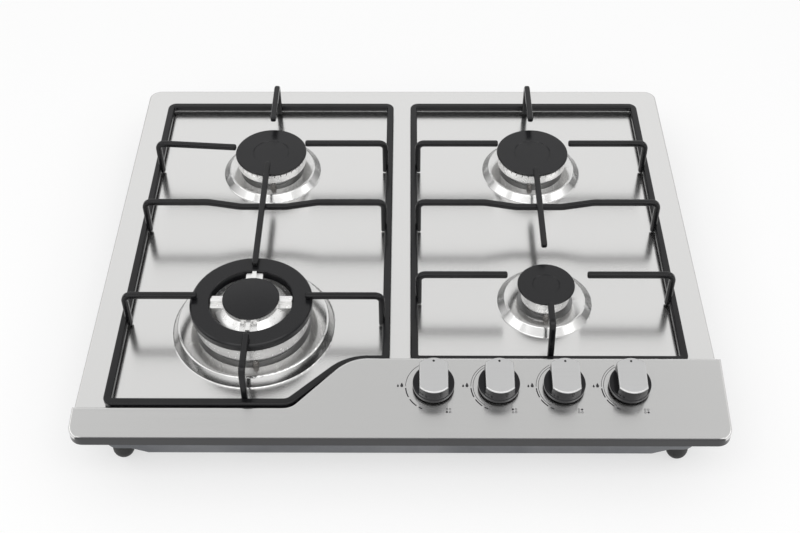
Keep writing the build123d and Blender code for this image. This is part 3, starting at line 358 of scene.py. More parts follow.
def grain_group():
    """Fine grain of enamel, casting or moulded plastic: a mask, broad patches and a height."""
    group, start, end = make_group("surface_grain", {"Scale": 900.0}, ("Mask", "Patches", "Height"))
    fine = noise(group, start["Vector"], start["Scale"], detail=4.0)
    patch_scale = math_node(group, "MULTIPLY", start["Scale"], PATCH_SHARE)
    broad = noise(group, start["Vector"], patch_scale, roughness=0.55)
    cells = group.nodes.new("ShaderNodeTexVoronoi")
    feed(group, cells.inputs, {"Vector": start["Vector"], "Scale": start["Scale"]})
    pits = math_node(group, "MULTIPLY", cells.outputs["Distance"], 0.5)
    feed(group, end, {"Mask": ramp_value(group, fine, *GRAIN_SPAN, 0.0, 1.0),
                      "Patches": ramp_value(group, broad, *NOISE_SPAN, 0.0, 1.0),
                      "Height": math_node(group, "ADD", fine, pits)})
    return group


def turning_group():
    """Fine rings left by a lathe around an upright axis: a shade and a height."""
    group, start, end = make_group("turning_rings", {"Pitch": 1400.0, "Shade": 0.1}, ("Shade", "Height"))
    parts = split(group, start["Vector"])
    radius = math_node(group, "POWER", square_sum(group, parts["X"], parts["Y"]), 0.5)
    line = group.nodes.new("ShaderNodeCombineXYZ")
    feed(group, line.inputs, {axis: math_node(group, "MULTIPLY", value, start["Pitch"])
                              for axis, value in (("X", radius), ("Y", parts["Z"]))})
    rings = ramp_value(group, noise(group, line.outputs[0], 1.0), *NOISE_SPAN, -1.0, 1.0)
    feed(group, end, {"Shade": math_node(group, "MULTIPLY_ADD", rings, start["Shade"], 1.0),
                      "Height": rings})
    return group


def shared_group(name):
    """A shared node group, built the first time it is asked for."""
    makers = {"brushing_lines": brushing_group, "surface_grain": grain_group,
              "turning_rings": turning_group}
    return bpy.data.node_groups.get(name) or makers[name]()


def scaled(colour, share):
    """A colour made darker or lighter."""
    return tuple(share * value for value in colour)


class Finish:
    """A material with a Principled shader and a few short ways to feed it."""

    def __init__(self, name, colour, metallic, roughness, **constants):
        self.material = bpy.data.materials.new(name)
        self.material.use_nodes = True
        self.tree = self.material.node_tree
        self.shader = self.tree.nodes["Principled BSDF"]
        self.coords = self.tree.nodes.new("ShaderNodeTexCoord").outputs["Object"]
        self.parts = None
        feed(self.tree, self.shader.inputs, {
            "Base Color": colour, "Metallic": metallic, "Roughness": roughness,
            **{label.replace("_", " "): value for label, value in constants.items()}})

    def use(self, name, centre=None, **values):
        """Outputs of a shared group with this material's own values, around a centre if one is given."""
        node = self.tree.nodes.new("ShaderNodeGroup")
        node.node_tree = shared_group(name)
        vector = self.coords if centre is None else self.centred(*centre)
        feed(self.tree, node.inputs, {"Vector": vector, **values})
        return node.outputs

    def centred(self, x, y):
        """Place on the piece, seen from an upright axis."""
        node = self.tree.nodes.new("ShaderNodeMapping")
        node.inputs["Location"].default_value = (-x, -y, 0)
        self.tree.links.new(self.coords, node.inputs["Vector"])
        return node.outputs["Vector"]

    def axis(self, label):
        """One coordinate of the piece, in metres."""
        self.parts = self.parts or split(self.tree, self.coords)
        return self.parts[label]

    def link(self, output, label):
        """Feed one socket of the shader."""
        self.tree.links.new(output, self.shader.inputs[label])

    def vary_colour(self, mask, first, second):
        """Base colour that goes from the first to the second with a mask."""
        self.link(mix_colour(self.tree, mask, first, second), "Base Color")

    def vary_roughness(self, mask, low, high):
        """Roughness that goes from low to high with a mask."""
        self.link(ramp_value(self.tree, mask, 0.0, 1.0, low, high), "Roughness")

    def bump(self, height, distance, strength=1.0):
        """Bump from a height, in metres."""
        node = self.tree.nodes.new("ShaderNodeBump")
        feed(self.tree, node.inputs, {"Height": height, "Distance": distance, "Strength": strength})
        self.link(node.outputs["Normal"], "Normal")

    def shaded(self, colour, shade):
        """The colour times a shade value."""
        grey = self.tree.nodes.new("ShaderNodeCombineColor")
        for socket in grey.inputs:
            self.tree.links.new(shade, socket)
        return mix_colour(self.tree, 1.0, colour, grey.outputs[0], "MULTIPLY")


# ---------------------------------------------------------------- finishes
def burner_centre(name):
    """Axis of a burner, from the box of its crown."""
    low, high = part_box(f"{name}_crown")
    return (low[0] + high[0]) / 2, (low[1] + high[1]) / 2


def ring_mask(finish):
    """One inside the pressed rings around the burners, and nought on the rest of the plate."""
    tree, total = finish.tree, 0.0
    for burner, reach in RING_REACH.items():
        x, y = burner_centre(burner)
        square = square_sum(tree, math_node(tree, "SUBTRACT", finish.axis("X"), x),
                            math_node(tree, "SUBTRACT", finish.axis("Y"), y))
        total = math_node(tree, "ADD", total, math_node(tree, "LESS_THAN", square, reach * reach))
    return total


def plate_steel():
    """Satin steel brushed from left to right, with painted shade darkening the turned-down rim, and
    smoother on the rings.
    """
    steel = settings("cooktop_steel")
    finish = Finish("steel_plate_brushed", steel.colour, 1.0, steel.roughness, Anisotropic=steel.stretch)
    tree, front_face = finish.tree, CAD_BOX[0][1]
    tangent = tree.nodes.new("ShaderNodeCombineXYZ")
    tangent.inputs["Y"].default_value = 1.0
    finish.link(tangent.outputs[0], "Tangent")
    lines = finish.use("brushing_lines", Along=1 / steel.streak_length, Across=1 / steel.streak_width,
                       Shade=steel.streak_shade)
    # Painted shade: the rim's low band and its front face are darkened towards a near-black, in place of
    # the dark surroundings they would reflect.
    low = ramp_value(tree, finish.axis("Z"), *RIM_SHADE_SPAN, steel.rim_painted_shade, 0.0)
    front = ramp_value(tree, finish.axis("Y"), *(front_face + depth for depth in FRONT_SHADE_SPAN),
                       steel.rim_painted_shade, 0.0)
    rim = math_node(tree, "MAXIMUM", low, front)
    finish.vary_colour(rim, finish.shaded(steel.colour, lines["Shade"]), RIM_SHADE_COLOUR)
    rough = math_node(tree, "ADD", lines["Roughness"], steel.roughness)
    smoother = math_node(tree, "MULTIPLY", ring_mask(finish), steel.polish)
    finish.link(math_node(tree, "SUBTRACT", rough, smoother), "Roughness")
    finish.bump(lines["Height"], distance=0.000002, strength=0.5)
    return finish.material


def tray_steel():
    """Zinc-coated sheet of the tray, darkened well below bare zinc as painted shade, with faint crystal
    patches.
    """
    finish = Finish("tray_zinc_and_painted_shade", TRAY_ZINC_AND_SHADE, 0.9, 0.42)
    grain = finish.use("surface_grain", Scale=420.0)
    darker, lighter = (tuple(value + change for value in TRAY_ZINC_AND_SHADE) for change in (-0.02, 0.03))
    finish.vary_colour(grain["Patches"], darker, lighter)
    finish.vary_roughness(grain["Mask"], 0.36, 0.5)
    finish.bump(grain["Height"], distance=0.00002, strength=0.4)
    return finish.material


def support_enamel():
    """Satin black enamel of the pan supports."""
    enamel = settings("cooktop_enamel")
    finish = Finish("support_black_enamel", enamel.bar_colour, 0.0, 0.2, Specular_IOR_Level=0.34)
    grain = finish.use("surface_grain", Scale=1 / enamel.grain)
    finish.vary_colour(grain["Patches"], enamel.bar_colour, scaled(enamel.bar_colour, 0.6))
    finish.vary_roughness(grain["Mask"], 0.17, 0.25)
    finish.bump(grain["Height"], distance=0.00002, strength=0.25)
    return finish.material


def cap_enamel():
    """Satin black enamel of the burner caps, with a finer grain."""
    enamel = settings("cooktop_enamel")
    finish = Finish("cap_charcoal_enamel", enamel.cap_colour, 0.0, 0.22, Specular_IOR_Level=0.32)
    grain = finish.use("surface_grain", Scale=1.3 / enamel.grain)
    finish.vary_colour(grain["Mask"], enamel.cap_colour, scaled(enamel.cap_colour, 1.35))
    finish.vary_roughness(grain["Patches"], 0.19, 0.26)
    finish.bump(grain["Height"], distance=0.00002, strength=0.25)
    return finish.material


def turned_metal(name, colour, roughness, centre, shade=0.12, metallic=1.0):
    """Cast and turned metal around one burner's axis."""
    finish = Finish(name, colour, metallic, roughness)
    rings = finish.use("turning_rings", centre, Pitch=1500.0, Shade=shade)
    grain = finish.use("surface_grain", Scale=260.0)
    finish.vary_colour(grain["Patches"], finish.shaded(colour, rings["Shade"]), scaled(colour, 0.93))
    finish.vary_roughness(grain["Mask"], roughness - 0.01, roughness + 0.02)
    finish.bump(rings["Height"], distance=0.000002, strength=0.3)
    return finish.material


def crown_metal(name, burner):
    """Bright aluminium of the crowns and of the inner skirt."""
    return turned_metal(name, CROWN_METAL, 0.26, burner_centre(burner), shade=0.03, metallic=CROWN_SHARE)


def cast_metal(name, colour, roughness, scale=500.0):
    """Die-cast, drawn or coated metal that is not turned."""
    finish = Finish(name, colour, 1.0, roughness)
    grain = finish.use("surface_grain", Scale=scale)
    finish.vary_colour(grain["Patches"], colour, scaled(colour, 0.78))
    finish.vary_roughness(grain["Mask"], roughness - 0.06, roughness + 0.08)
    finish.bump(grain["Height"], distance=0.00003, strength=0.5)
    return finish.material


def inlet_brass(centre):
    """Machined brass with the inlet's thread below the tray."""
    finish = Finish("inlet_brass", BRASS, 1.0, 0.3)
    tree = finish.tree
    grain = finish.use("surface_grain", Scale=800.0)
    around = math_node(tree, "ARCTAN2", math_node(tree, "SUBTRACT", finish.axis("Y"), centre[1]),
                       math_node(tree, "SUBTRACT", finish.axis("X"), centre[0]))
    turns = math_node(tree, "ADD", math_node(tree, "DIVIDE", finish.axis("Z"), THREAD_PITCH),
                      math_node(tree, "DIVIDE", around, 2 * math.pi))
    ridge = math_node(tree, "PINGPONG", turns, 0.5)
    below = math_node(tree, "LESS_THAN", finish.axis("Z"), THREAD_TOP)
    finish.vary_colour(grain["Patches"], BRASS, DULL_BRASS)
    finish.bump(math_node(tree, "MULTIPLY", ridge, below), distance=THREAD_DEPTH)
    return finish.material


def soft_finish(name, colour, roughness, scale):
    """Rubber, foam, silicone, moulded plastic or ink."""
    finish = Finish(name, colour, 0.0, roughness, Specular_IOR_Level=0.35)
    grain = finish.use("surface_grain", Scale=scale)
    finish.vary_colour(grain["Mask"], colour, scaled(colour, 1.5))
    finish.vary_roughness(grain["Patches"], roughness - 0.06, roughness + 0.06)
    finish.bump(grain["Height"], distance=0.00006, strength=0.5)
    return finish.material


def electrode_ceramic(name, top):
    """Smoked ceramic with a bare steel pin above it."""
    finish = Finish(name, GLAZE, 0.0, 0.25, Coat_Weight=0.3, Coat_Roughness=0.1)
    grain = finish.use("surface_grain", Scale=900.0)
    foot = top - PIN_HEIGHT
    pin = ramp_value(finish.tree, finish.axis("Z"), foot - PIN_BLEND, foot + PIN_BLEND, 0.0, 1.0)
    finish.vary_colour(pin, mix_colour(finish.tree, grain["Mask"], GLAZE, DARK_GLAZE), PIN_STEEL)
    finish.link(pin, "Metallic")
    return finish.material


def knob_metal(name, joint):
    """Satin brushed face and polished sides with a near-black painted shade, told apart by height along the
    knob's axis.
    """
    steel = settings("cooktop_steel")
    side_rough, face_rough = KNOB_ROUGHNESS
    finish = Finish(name, steel.knob_side_painted_shade, 1.0, side_rough)
    tree, foot, axis = finish.tree, Vector(joint["pos_m"]), Vector(joint["axis"])
    reach = math_node(tree, "ADD", math_node(tree, "MULTIPLY", finish.axis("Y"), axis.y),
                      math_node(tree, "MULTIPLY", finish.axis("Z"), axis.z))
    edge = foot.dot(axis) + KNOB_TOP - KNOB_EDGE
    face = ramp_value(tree, reach, edge, edge + KNOB_EDGE / 3, 0.0, 1.0)
    lines = finish.use("brushing_lines", Along=12.0, Across=3000.0, Shade=0.02)
    # the sides get the near-black painted shade, the face the satin colour
    finish.vary_colour(face, steel.knob_side_painted_shade, finish.shaded(steel.knob_top, lines["Shade"]))
    finish.vary_roughness(face, side_rough, face_rough)
    finish.bump(math_node(tree, "MULTIPLY", lines["Height"], face), distance=0.000005, strength=0.5)
    return finish.material


def dress(material, *nodes):
    """Give CAD nodes a finish in every material slot."""
    for node in nodes:
        if not NODES[node].material_slots:
            NODES[node].data.materials.append(material)
        for place in NODES[node].material_slots:
            place.material = material


# ---------------------------------------------------------------- helpers for new pieces
def start_clean():
    """Leave edit mode and select nothing."""
    if bpy.context.object and bpy.context.object.mode != "OBJECT":
        bpy.ops.object.mode_set(mode="OBJECT")
    bpy.ops.object.select_all(action="DESELECT")


def edit_all():
    """Enter edit mode with everything selected."""
    bpy.ops.object.mode_set(mode="EDIT")
    bpy.ops.mesh.select_all(action="SELECT")


def select_verts(keep):
    """In edit mode, select the vertices that a test accepts."""
    mesh = bmesh.from_edit_mesh(bpy.context.object.data)
    bpy.ops.mesh.select_mode(type="VERT")
    for vert in mesh.verts:
        vert.select = bool(keep(vert.co))
    mesh.select_flush(True)
    bmesh.update_edit_mesh(bpy.context.object.data)


def select_faces(keep):
    """In edit mode, select the faces that a test accepts."""
    bpy.ops.mesh.select_mode(type="FACE")
    bpy.ops.mesh.select_all(action="DESELECT")
    mesh = bmesh.from_edit_mesh(bpy.context.object.data)
    for face in mesh.faces:
        face.select = bool(keep(face))
    bmesh.update_edit_mesh(bpy.context.object.data)


def add_cylinder(vertices, radius, depth, place=(0, 0, 0)):
    """New upright cylinder, which becomes the active piece."""
    start_clean()
    bpy.ops.mesh.primitive_cylinder_add(vertices=vertices, radius=radius, depth=depth, location=place)
    return bpy.context.object


def round_edges(piece, width, segments):
    """Round the sharp edges of the active piece."""
    rounding = piece.modifiers.new("rounding", "BEVEL")
    rounding.width, rounding.segments, rounding.limit_method = width, segments, "ANGLE"
    bpy.ops.object.modifier_apply(modifier=rounding.name)


def settle(piece, name, matrix, body, material):
    """Put a finished piece in its place, with its place in the mesh, and parent it to its body."""
    piece.name = piece.data.name = name
    piece.data.transform(piece.matrix_world)
    piece.matrix_world = Matrix.Identity(4)
    piece.data.transform(matrix)
    piece.data.update()
    piece.data.materials.append(material)
    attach(piece, body)


def knob_matrix(name):
    """Frame on the panel at a knob: X to the right, Y up the panel, Z along the knob's axis."""
    joint = KNOB_JOINTS[name]
    normal, right = Vector(joint["axis"]), Vector((1, 0, 0))
    turn = Matrix((right, normal.cross(right), normal)).transposed().to_4x4()
    return Matrix.Translation(Vector(joint["pos_m"])) @ turn


def add_arc(radius, width, span):
    """Flat printed arc over a span of angles."""
    inner, outer = radius - width / 2, radius + width / 2
    bpy.ops.mesh.primitive_circle_add(vertices=180, radius=inner, location=(0, 0, PRINT_LIFT))
    edit_all()
    bpy.ops.mesh.extrude_region_move()
    bpy.ops.transform.resize(value=(outer / inner, outer / inner, 1), center_override=(0, 0, PRINT_LIFT))
    select_verts(lambda co: not span[0] <= math.degrees(math.atan2(co.y, co.x)) % 360 <= span[1])
    bpy.ops.mesh.delete(type="VERT")
    bpy.ops.mesh.select_all(action="SELECT")
    bpy.ops.mesh.normals_make_consistent(inside=False)
    bpy.ops.object.mode_set(mode="OBJECT")
    return bpy.context.object


def add_dot(x, y, radius, filled):
    """Flat printed dot, filled or drawn as a ring."""
    place = (x, y, PRINT_LIFT)
    bpy.ops.mesh.primitive_circle_add(vertices=20, radius=radius, fill_type="NGON", location=place)
    if not filled:
        edit_all()
        bpy.ops.mesh.inset(thickness=radius * RING_SHARE)
        bpy.ops.mesh.delete(type="FACE")
        bpy.ops.object.mode_set(mode="OBJECT")
    return bpy.context.object


def add_flame(x, y, size):
    """Small printed flame: a circle drawn out to a tip."""
    radius, place = size / 2, (x, y, PRINT_LIFT)
    bpy.ops.mesh.primitive_circle_add(vertices=24, radius=radius, fill_type="NGON", location=place)
    bpy.ops.object.mode_set(mode="EDIT")
    for share, rise in FLAME_STEPS:
        select_verts(lambda co: co.y > share * radius)
        bpy.ops.transform.resize(value=(1 - FLAME_TAPER * share, 1, 1), center_override=place)
        bpy.ops.transform.translate(value=(0, rise * radius, 0))
    bpy.ops.object.mode_set(mode="OBJECT")
    return bpy.context.object


def join(pieces):
    """Join pieces into the first."""
    start_clean()
    for piece in pieces:
        piece.select_set(True)
    bpy.context.view_layer.objects.active = pieces[0]
    bpy.ops.object.transform_apply()
    bpy.ops.object.join()
    return bpy.context.object


# ---------------------------------------------------------------- operators
class COOKTOP_OT_finish_plate(bpy.types.Operator):
    """Brushed steel on the plate, zinc coat on the tray, foam and rubber under them"""

    bl_idname = "cooktop.finish_plate"
    bl_label = "Finish plate and tray"

    def execute(self, context):
        dress(plate_steel(), "top_plate")
        dress(tray_steel(), "bottom_tray")
        dress(soft_finish("seal_foam", (0.03, 0.03, 0.03), 0.85, scale=1500.0), "worktop_seal")
        dress(soft_finish("foot_rubber", (0.014, 0.014, 0.014), 0.5, scale=900.0),
              *(node for node in NODES if node.startswith("foot_") or node.endswith("_pads")))
        return {"FINISHED"}


class COOKTOP_OT_finish_supports(bpy.types.Operator):
    """Black enamel on both pan supports"""

    bl_idname = "cooktop.finish_supports"
    bl_label = "Finish pan supports"

    def execute(self, context):
        dress(support_enamel(), *(f"{side}_support_{part}" for side in ("left", "right")
                                  for part in ("frame", "bridge", "fingers")))
        return {"FINISHED"}


class COOKTOP_OT_finish_burners(bpy.types.Operator):
    """Turned aluminium crowns and cups, enamelled caps, ceramic electrodes and brass injectors"""

    bl_idname = "cooktop.finish_burners"
    bl_label = "Finish burners"

    def execute(self, context):
        dress(cap_enamel(), *(node for node in NODES if node.endswith("_cap")))
        for burner in BURNERS:
            rod, cup = f"{burner}_electrode", f"{burner}_burner_cup"
            dress(electrode_ceramic(f"{rod}_ceramic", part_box(rod)[1][2]), rod)
            dress(crown_metal(f"{burner}_crown_metal", burner), f"{burner}_crown")
            dress(turned_metal(f"{burner}_cup_metal", CUP_METAL, 0.36, burner_centre(burner)), cup)
        dress(cast_metal("injector_brass", BRASS, 0.28), "injectors")
        return {"FINISHED"}


class COOKTOP_OT_fit_inner_skirt(bpy.types.Operator):
    """Flared skirt with its row of ports, below the inner cap of the large burner"""

    bl_idname = "cooktop.fit_inner_skirt"
    bl_label = "Fit inner crown skirt"

    def execute(self, context):
        crown = settings("cooktop_crown")
        x, y = burner_centre("front_left")
        start_clean()
        bpy.ops.mesh.primitive_circle_add(vertices=crown.skirt_steps, radius=crown.skirt_top,
                                          location=(0, 0, 0))
        skirt = bpy.context.object
        edit_all()
        radius, depth = crown.skirt_top, 0.0
        for share in (LIP_SHARE, *PORT_ROW, 1.0):
            wider = crown.skirt_top + share * (crown.skirt_foot - crown.skirt_top)
            deeper = share * crown.skirt_drop
            bpy.ops.mesh.extrude_region_move(TRANSFORM_OT_translate={"value": (0, 0, depth - deeper)})
            bpy.ops.transform.resize(value=(wider / radius, wider / radius, 1), center_override=(0, 0, 0))
            radius, depth = wider, deeper
        bpy.ops.mesh.select_all(action="SELECT")
        bpy.ops.mesh.normals_make_consistent(inside=False)
        bpy.ops.object.mode_set(mode="OBJECT")
        wall = skirt.modifiers.new("wall", "SOLIDIFY")
        wall.thickness, wall.offset = crown.skirt_wall, -1.0
        bpy.ops.object.modifier_apply(modifier=wall.name)
        self.sink_ports(crown)
        bpy.ops.object.shade_smooth_by_angle(angle=math.radians(25))
        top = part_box("front_left_inner_cap")[0][2] - crown.skirt_gap
        metal = crown_metal("inner_skirt_metal", "front_left")
        settle(skirt, "front_left_inner_skirt", Matrix.Translation((x, y, top)),
               "front_left_flame_spreader", metal)
        return {"FINISHED"}

    def sink_ports(self, crown):
        """Sink a port into every fourth face of the port row, on the outside."""
        step = 2 * math.pi / crown.skirt_steps

        def is_port(face):
            middle = face.calc_center_median()
            in_row = PORT_ROW[0] < -middle.z / crown.skirt_drop < PORT_ROW[1]
            outside = face.normal.x * middle.x + face.normal.y * middle.y > 0
            return in_row and outside and math.floor(math.atan2(middle.y, middle.x) / step) % PORT_STEP == 0

        bpy.ops.object.mode_set(mode="EDIT")
        select_faces(is_port)
        bpy.ops.mesh.inset(thickness=crown.port_margin, use_individual=True)
        bpy.ops.mesh.inset(thickness=PORT_TAPER, depth=-crown.port_depth, use_individual=True)
        bpy.ops.object.mode_set(mode="OBJECT")


class COOKTOP_OT_finish_controls(bpy.types.Operator):
    """Knobs with a satin face and polished sides, with the spindles under them"""

    bl_idname = "cooktop.finish_controls"
    bl_label = "Finish knobs and spindles"

    def execute(self, context):
        spindle = cast_metal("spindle_steel", (0.6, 0.6, 0.6), 0.3)
        for name in BURNERS:
            dress(knob_metal(f"{name}_knob_metal", KNOB_JOINTS[name]), f"{name}_knob")
            dress(spindle, f"{name}_spindle")
        return {"FINISHED"}


class COOKTOP_OT_finish_inside(bpy.types.Operator):
    """Valves, rail, pipes, tubes and the electrical parts inside the tray"""

    bl_idname = "cooktop.finish_inside"
    bl_label = "Finish gas train"

    def execute(self, context):
        tube = cast_metal("tube_drawn_aluminium", (0.74, 0.74, 0.75), 0.3, scale=900.0)
        for part, material in (("valve_body", cast_metal("valve_casting", (0.6, 0.6, 0.6), 0.42)),
                               ("valve_plug", cast_metal("plug_brass", BRASS, 0.28)),
                               ("gas_tube", tube)):
            dress(material, *(f"{name}_{part}" for name in BURNERS))
        dress(cast_metal("pipe_zinc_coat", (0.5, 0.5, 0.52), 0.38), "gas_rail", "inlet_pipe")
        dress(soft_finish("moulded_plastic", (0.02, 0.02, 0.022), 0.48, scale=700.0),
              "spark_generator", "ignition_switches")
        low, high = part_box("gas_inlet_elbow")
        centre = (low[0] + high[0]) / 2, high[1] - (high[0] - low[0]) / 2
        dress(inlet_brass(centre), "gas_inlet_elbow")
        dress(soft_finish("lead_silicone", (0.62, 0.60, 0.55), 0.55, scale=1500.0), "ignition_leads")
        return {"FINISHED"}


class COOKTOP_OT_print_panel(bpy.types.Operator):
    """Arcs, dashes, flames and the burner sign printed on the panel at each knob"""

    bl_idname = "cooktop.print_panel"
    bl_label = "Print control panel"

    def execute(self, context):
        prints = settings("cooktop_print")
        ink = soft_finish("panel_ink", prints.ink, 0.55, scale=1200.0)
        for name in BURNERS:
            start_clean()
            marks = [add_arc(prints.inner_radius, prints.line, INNER_ARC),
                     add_arc(prints.outer_radius, prints.line, OUTER_ARC)]
            marks += [add_arc(prints.outer_radius, prints.dash, span) for span in DASHES]
            marks += [add_flame(*flame) for flame in FLAMES]
            for column, side in enumerate(("left", "right")):
                for row, end in enumerate(("front", "rear")):
                    marks.append(add_dot(SIGN_PLACE[0] + column * prints.dot_pitch,
                                         SIGN_PLACE[1] + row * prints.dot_pitch,
                                         SIGN_DOT, f"{end}_{side}" == name))
            settle(join(marks), f"{name}_panel_print", knob_matrix(name), "cooktop", ink)
        return {"FINISHED"}


class COOKTOP_OT_fit_knob_seals(bpy.types.Operator):
    """Rubber seal on the panel under each knob and the dark pointer dot in its face"""

    bl_idname = "cooktop.fit_knob_seals"
    bl_label = "Fit knob seals and pointers"

    def execute(self, context):
        fittings = settings("cooktop_fittings")
        rubber = soft_finish("knob_seal_rubber", (0.012, 0.012, 0.012), 0.6, scale=900.0)
        paint = soft_finish("pointer_paint", (0.01, 0.01, 0.01), 0.45, scale=1200.0)
        for name in BURNERS:
            place = knob_matrix(name)
            settle(self.seal(fittings), f"{name}_knob_seal", place, "cooktop", rubber)
            settle(self.pointer(fittings), f"{name}_pointer_dot", place, f"{name}_knob_set",
                   paint)
        return {"FINISHED"}

    def seal(self, fittings):
        """Flat ring with rounded edges."""
        middle = SEAL_LIFT + fittings.seal_height / 2
        ring = add_cylinder(72, fittings.seal_radius, fittings.seal_height, (0, 0, middle))
        bpy.ops.object.mode_set(mode="EDIT")
        select_faces(lambda face: abs(face.normal.z) > 0.9)
        bpy.ops.mesh.inset(thickness=fittings.seal_width)
        bpy.ops.mesh.bridge_edge_loops()
        bpy.ops.object.mode_set(mode="OBJECT")
        round_edges(ring, width=0.0005, segments=2)
        bpy.ops.object.shade_smooth_by_angle(angle=math.radians(40))
        return ring

    def pointer(self, fittings):
        """Dot that fills the recess in the knob's face."""
        middle = KNOB_TOP - POINTER_SINK - POINTER_HEIGHT / 2
        dot = add_cylinder(28, fittings.pointer, POINTER_HEIGHT, (0, POINTER_OFFSET, middle))
        round_edges(dot, width=0.0001, segments=2)
        return dot


class COOKTOP_OT_fit_screws(bpy.types.Operator):
    """Cross-head screws that hold the tray, seen from below"""

    bl_idname = "cooktop.fit_screws"
    bl_label = "Fit tray screws"

    def execute(self, context):
        fittings = settings("cooktop_fittings")
        steel = cast_metal("screw_zinc", (0.62, 0.62, 0.6), 0.3)
        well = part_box("bottom_tray")[0][2]
        half = fittings.screw_height / 2
        for index, (x, y) in enumerate(SCREW_PLACES):
            level = well - half + (TRAY_LEDGE if y > 0 else 0)
            head = add_cylinder(32, fittings.screw_radius, fittings.screw_height)
            round_edges(head, width=0.0006, segments=3)
            for turn in (0, math.pi / 2):
                self.cut_slot(head, turn, -half)
            head.select_set(True)
            bpy.ops.object.shade_smooth_by_angle(angle=math.radians(40))
            settle(head, f"tray_screw_{index + 1}", Matrix.Translation((x, y, level)), "cooktop",
                   steel)
        return {"FINISHED"}

    def cut_slot(self, head, turn, level):
        """Cut one slot of the cross into the underside of a screw's head."""
        bpy.ops.object.select_all(action="DESELECT")
        bpy.ops.mesh.primitive_cube_add(size=1, location=(0, 0, level), rotation=(0, 0, turn))
        cutter = bpy.context.object
        cutter.scale = CROSS_SIZE
        cutting = head.modifiers.new("cross", "BOOLEAN")
        cutting.object, cutting.operation, cutting.solver = cutter, "DIFFERENCE", "EXACT"
        bpy.context.view_layer.objects.active = head
        bpy.context.view_layer.update()
        bpy.ops.object.modifier_apply(modifier=cutting.name)
        bpy.data.objects.remove(cutter)


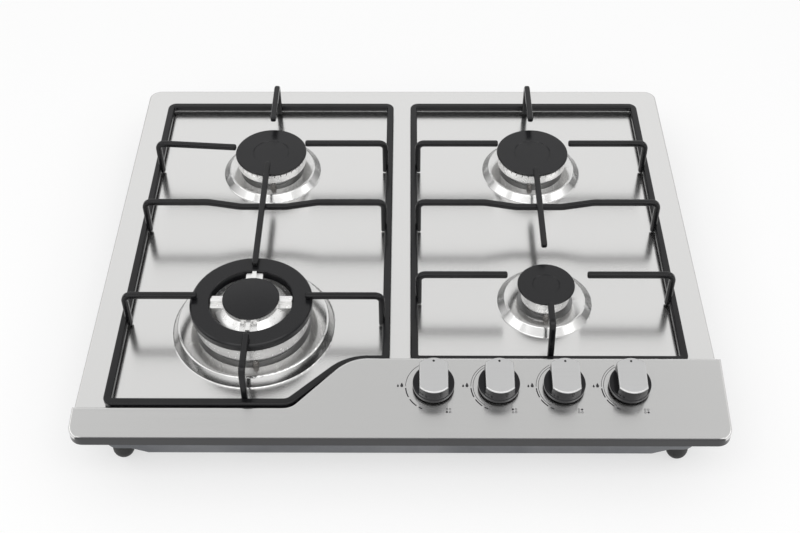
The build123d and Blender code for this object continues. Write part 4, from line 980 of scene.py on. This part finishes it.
class COOKTOP_OT_set_stage(bpy.types.Operator):
    """Pale floor, soft lamps, plain surroundings and the camera of the photograph"""

    bl_idname = "cooktop.set_stage"
    bl_label = "Set the stage"

    def execute(self, context):
        studio = settings("cooktop_studio")
        start_clean()
        bpy.ops.mesh.primitive_plane_add(size=2 * studio.floor_half, location=(0, 0, -FLOOR_DROP))
        floor = bpy.context.object
        floor.name = "studio_floor"
        finish = Finish("floor_paper", studio.floor_colour, 0.0, 0.95, Specular_IOR_Level=0.0)
        self.glow(finish, studio.floor_glow)
        floor.data.materials.append(finish.material)
        for name, (place, aim, size) in LAMPS.items():
            power = studio.key_power if name == "key_lamp" else studio.fill_power
            self.lamp(name, Vector(place), Vector(aim), size, power)
        self.surroundings(studio)
        self.camera(studio)
        context.scene.view_settings.view_transform = "Standard"
        return {"FINISHED"}

    def glow(self, finish, share):
        """Let the floor show partly plain white where it is seen or mirrored, and keep its shadow."""
        tree = finish.tree
        path = tree.nodes.new("ShaderNodeLightPath").outputs
        seen = math_node(tree, "MAXIMUM", path["Is Camera Ray"],
                         math_node(tree, "MAXIMUM", path["Is Glossy Ray"], path["Is Transmission Ray"]))
        white, mixed = tree.nodes.new("ShaderNodeEmission"), tree.nodes.new("ShaderNodeMixShader")
        tree.links.new(math_node(tree, "MULTIPLY", seen, share), mixed.inputs["Fac"])
        tree.links.new(finish.shader.outputs["BSDF"], mixed.inputs[1])
        tree.links.new(white.outputs["Emission"], mixed.inputs[2])
        tree.links.new(mixed.outputs["Shader"], tree.nodes["Material Output"].inputs["Surface"])

    def lamp(self, name, place, aim, size, power):
        """One soft lamp, turned towards its aim."""
        light = bpy.data.lights.new(name, "AREA")
        light.shape, (light.size, light.size_y), light.energy = "RECTANGLE", size, power
        holder = bpy.data.objects.new(name, light)
        bpy.context.scene.collection.objects.link(holder)
        holder.location = place
        holder.rotation_euler = (aim - place).to_track_quat("-Z", "Y").to_euler()

    def surroundings(self, studio):
        """White horizon, dark walls that are bright behind the camera, and a sky that fades to its top."""
        world = bpy.data.worlds.new("studio_surroundings")
        bpy.context.scene.world = world
        world.use_nodes = True
        tree = world.node_tree
        parts = split(tree, tree.nodes.new("ShaderNodeTexCoord").outputs["Generated"])
        sky = ramp_value(tree, parts["Z"], *SKY_SPAN, studio.sky_low, studio.sky_high)
        behind = ramp_value(tree, parts["Y"], *BEHIND_SPAN, studio.sky_behind, studio.sky_wall)
        wall = math_node(tree, "MAXIMUM", ramp_value(tree, parts["Z"], *HORIZON_SPAN, 1.0, behind),
                         ramp_value(tree, parts["Z"], *WALL_SPAN, behind, 1.0))
        top = ramp_value(tree, parts["Z"], *TOP_SPAN, 1.0, studio.sky_top)
        level = math_node(tree, "MULTIPLY", math_node(tree, "MULTIPLY", sky, wall), top)
        tree.links.new(level, tree.nodes["Background"].inputs["Strength"])
        tree.nodes["Background"].inputs["Color"].default_value = (1.0, 1.0, 1.0, 1.0)

    def camera(self, studio):
        """Camera with the photograph's place, direction and lens."""
        data = bpy.data.cameras.new("photo_camera")
        data.sensor_width, data.lens = SENSOR_WIDTH, studio.lens
        holder = bpy.data.objects.new("photo_camera", data)
        bpy.context.scene.collection.objects.link(holder)
        turn = (Matrix.Rotation(studio.yaw, 4, "Z") @ Matrix.Rotation(math.pi / 2 - studio.pitch, 4, "X")
                @ Matrix.Rotation(-studio.roll, 4, "Z"))
        holder.matrix_world = Matrix.Translation(studio.place) @ turn
        bpy.context.scene.camera = holder


class COOKTOP_PT_sidebar(bpy.types.Panel):
    """Sidebar panel with every step of the cooktop"""

    bl_idname = "COOKTOP_PT_sidebar"
    bl_label = "Gas cooktop"
    bl_space_type = "VIEW_3D"
    bl_region_type = "UI"
    bl_category = "Cooktop"

    def draw(self, context):
        for kind in OPERATORS:
            self.layout.operator(kind.bl_idname)
        for name in SETTINGS:
            group = settings(name)
            box = self.layout.box()
            for label in group.__annotations__:
                box.prop(group, label)


SETTINGS = {
    "cooktop_steel": SteelSettings,
    "cooktop_enamel": EnamelSettings,
    "cooktop_crown": CrownSettings,
    "cooktop_print": PrintSettings,
    "cooktop_fittings": FittingSettings,
    "cooktop_studio": StudioSettings,
}
OPERATORS = (
    COOKTOP_OT_finish_plate,
    COOKTOP_OT_finish_supports,
    COOKTOP_OT_finish_burners,
    COOKTOP_OT_fit_inner_skirt,
    COOKTOP_OT_finish_controls,
    COOKTOP_OT_finish_inside,
    COOKTOP_OT_print_panel,
    COOKTOP_OT_fit_knob_seals,
    COOKTOP_OT_fit_screws,
    COOKTOP_OT_set_stage,
)


def register():
    """Register the settings, the operators and the panel."""
    for kind in (*SETTINGS.values(), *OPERATORS, COOKTOP_PT_sidebar):
        bpy.utils.register_class(kind)
    for name, kind in SETTINGS.items():
        setattr(bpy.types.Scene, name, PointerProperty(type=kind))


def unregister():
    """Remove them again."""
    for name in SETTINGS:
        delattr(bpy.types.Scene, name)
    for kind in reversed((*SETTINGS.values(), *OPERATORS, COOKTOP_PT_sidebar)):
        bpy.utils.unregister_class(kind)


def main():
    """Run every step in order."""
    register()
    for kind in OPERATORS:
        step = kind.bl_idname.split(".")[1]
        getattr(bpy.ops.cooktop, step)()


if __name__ == "__main__":
    main()
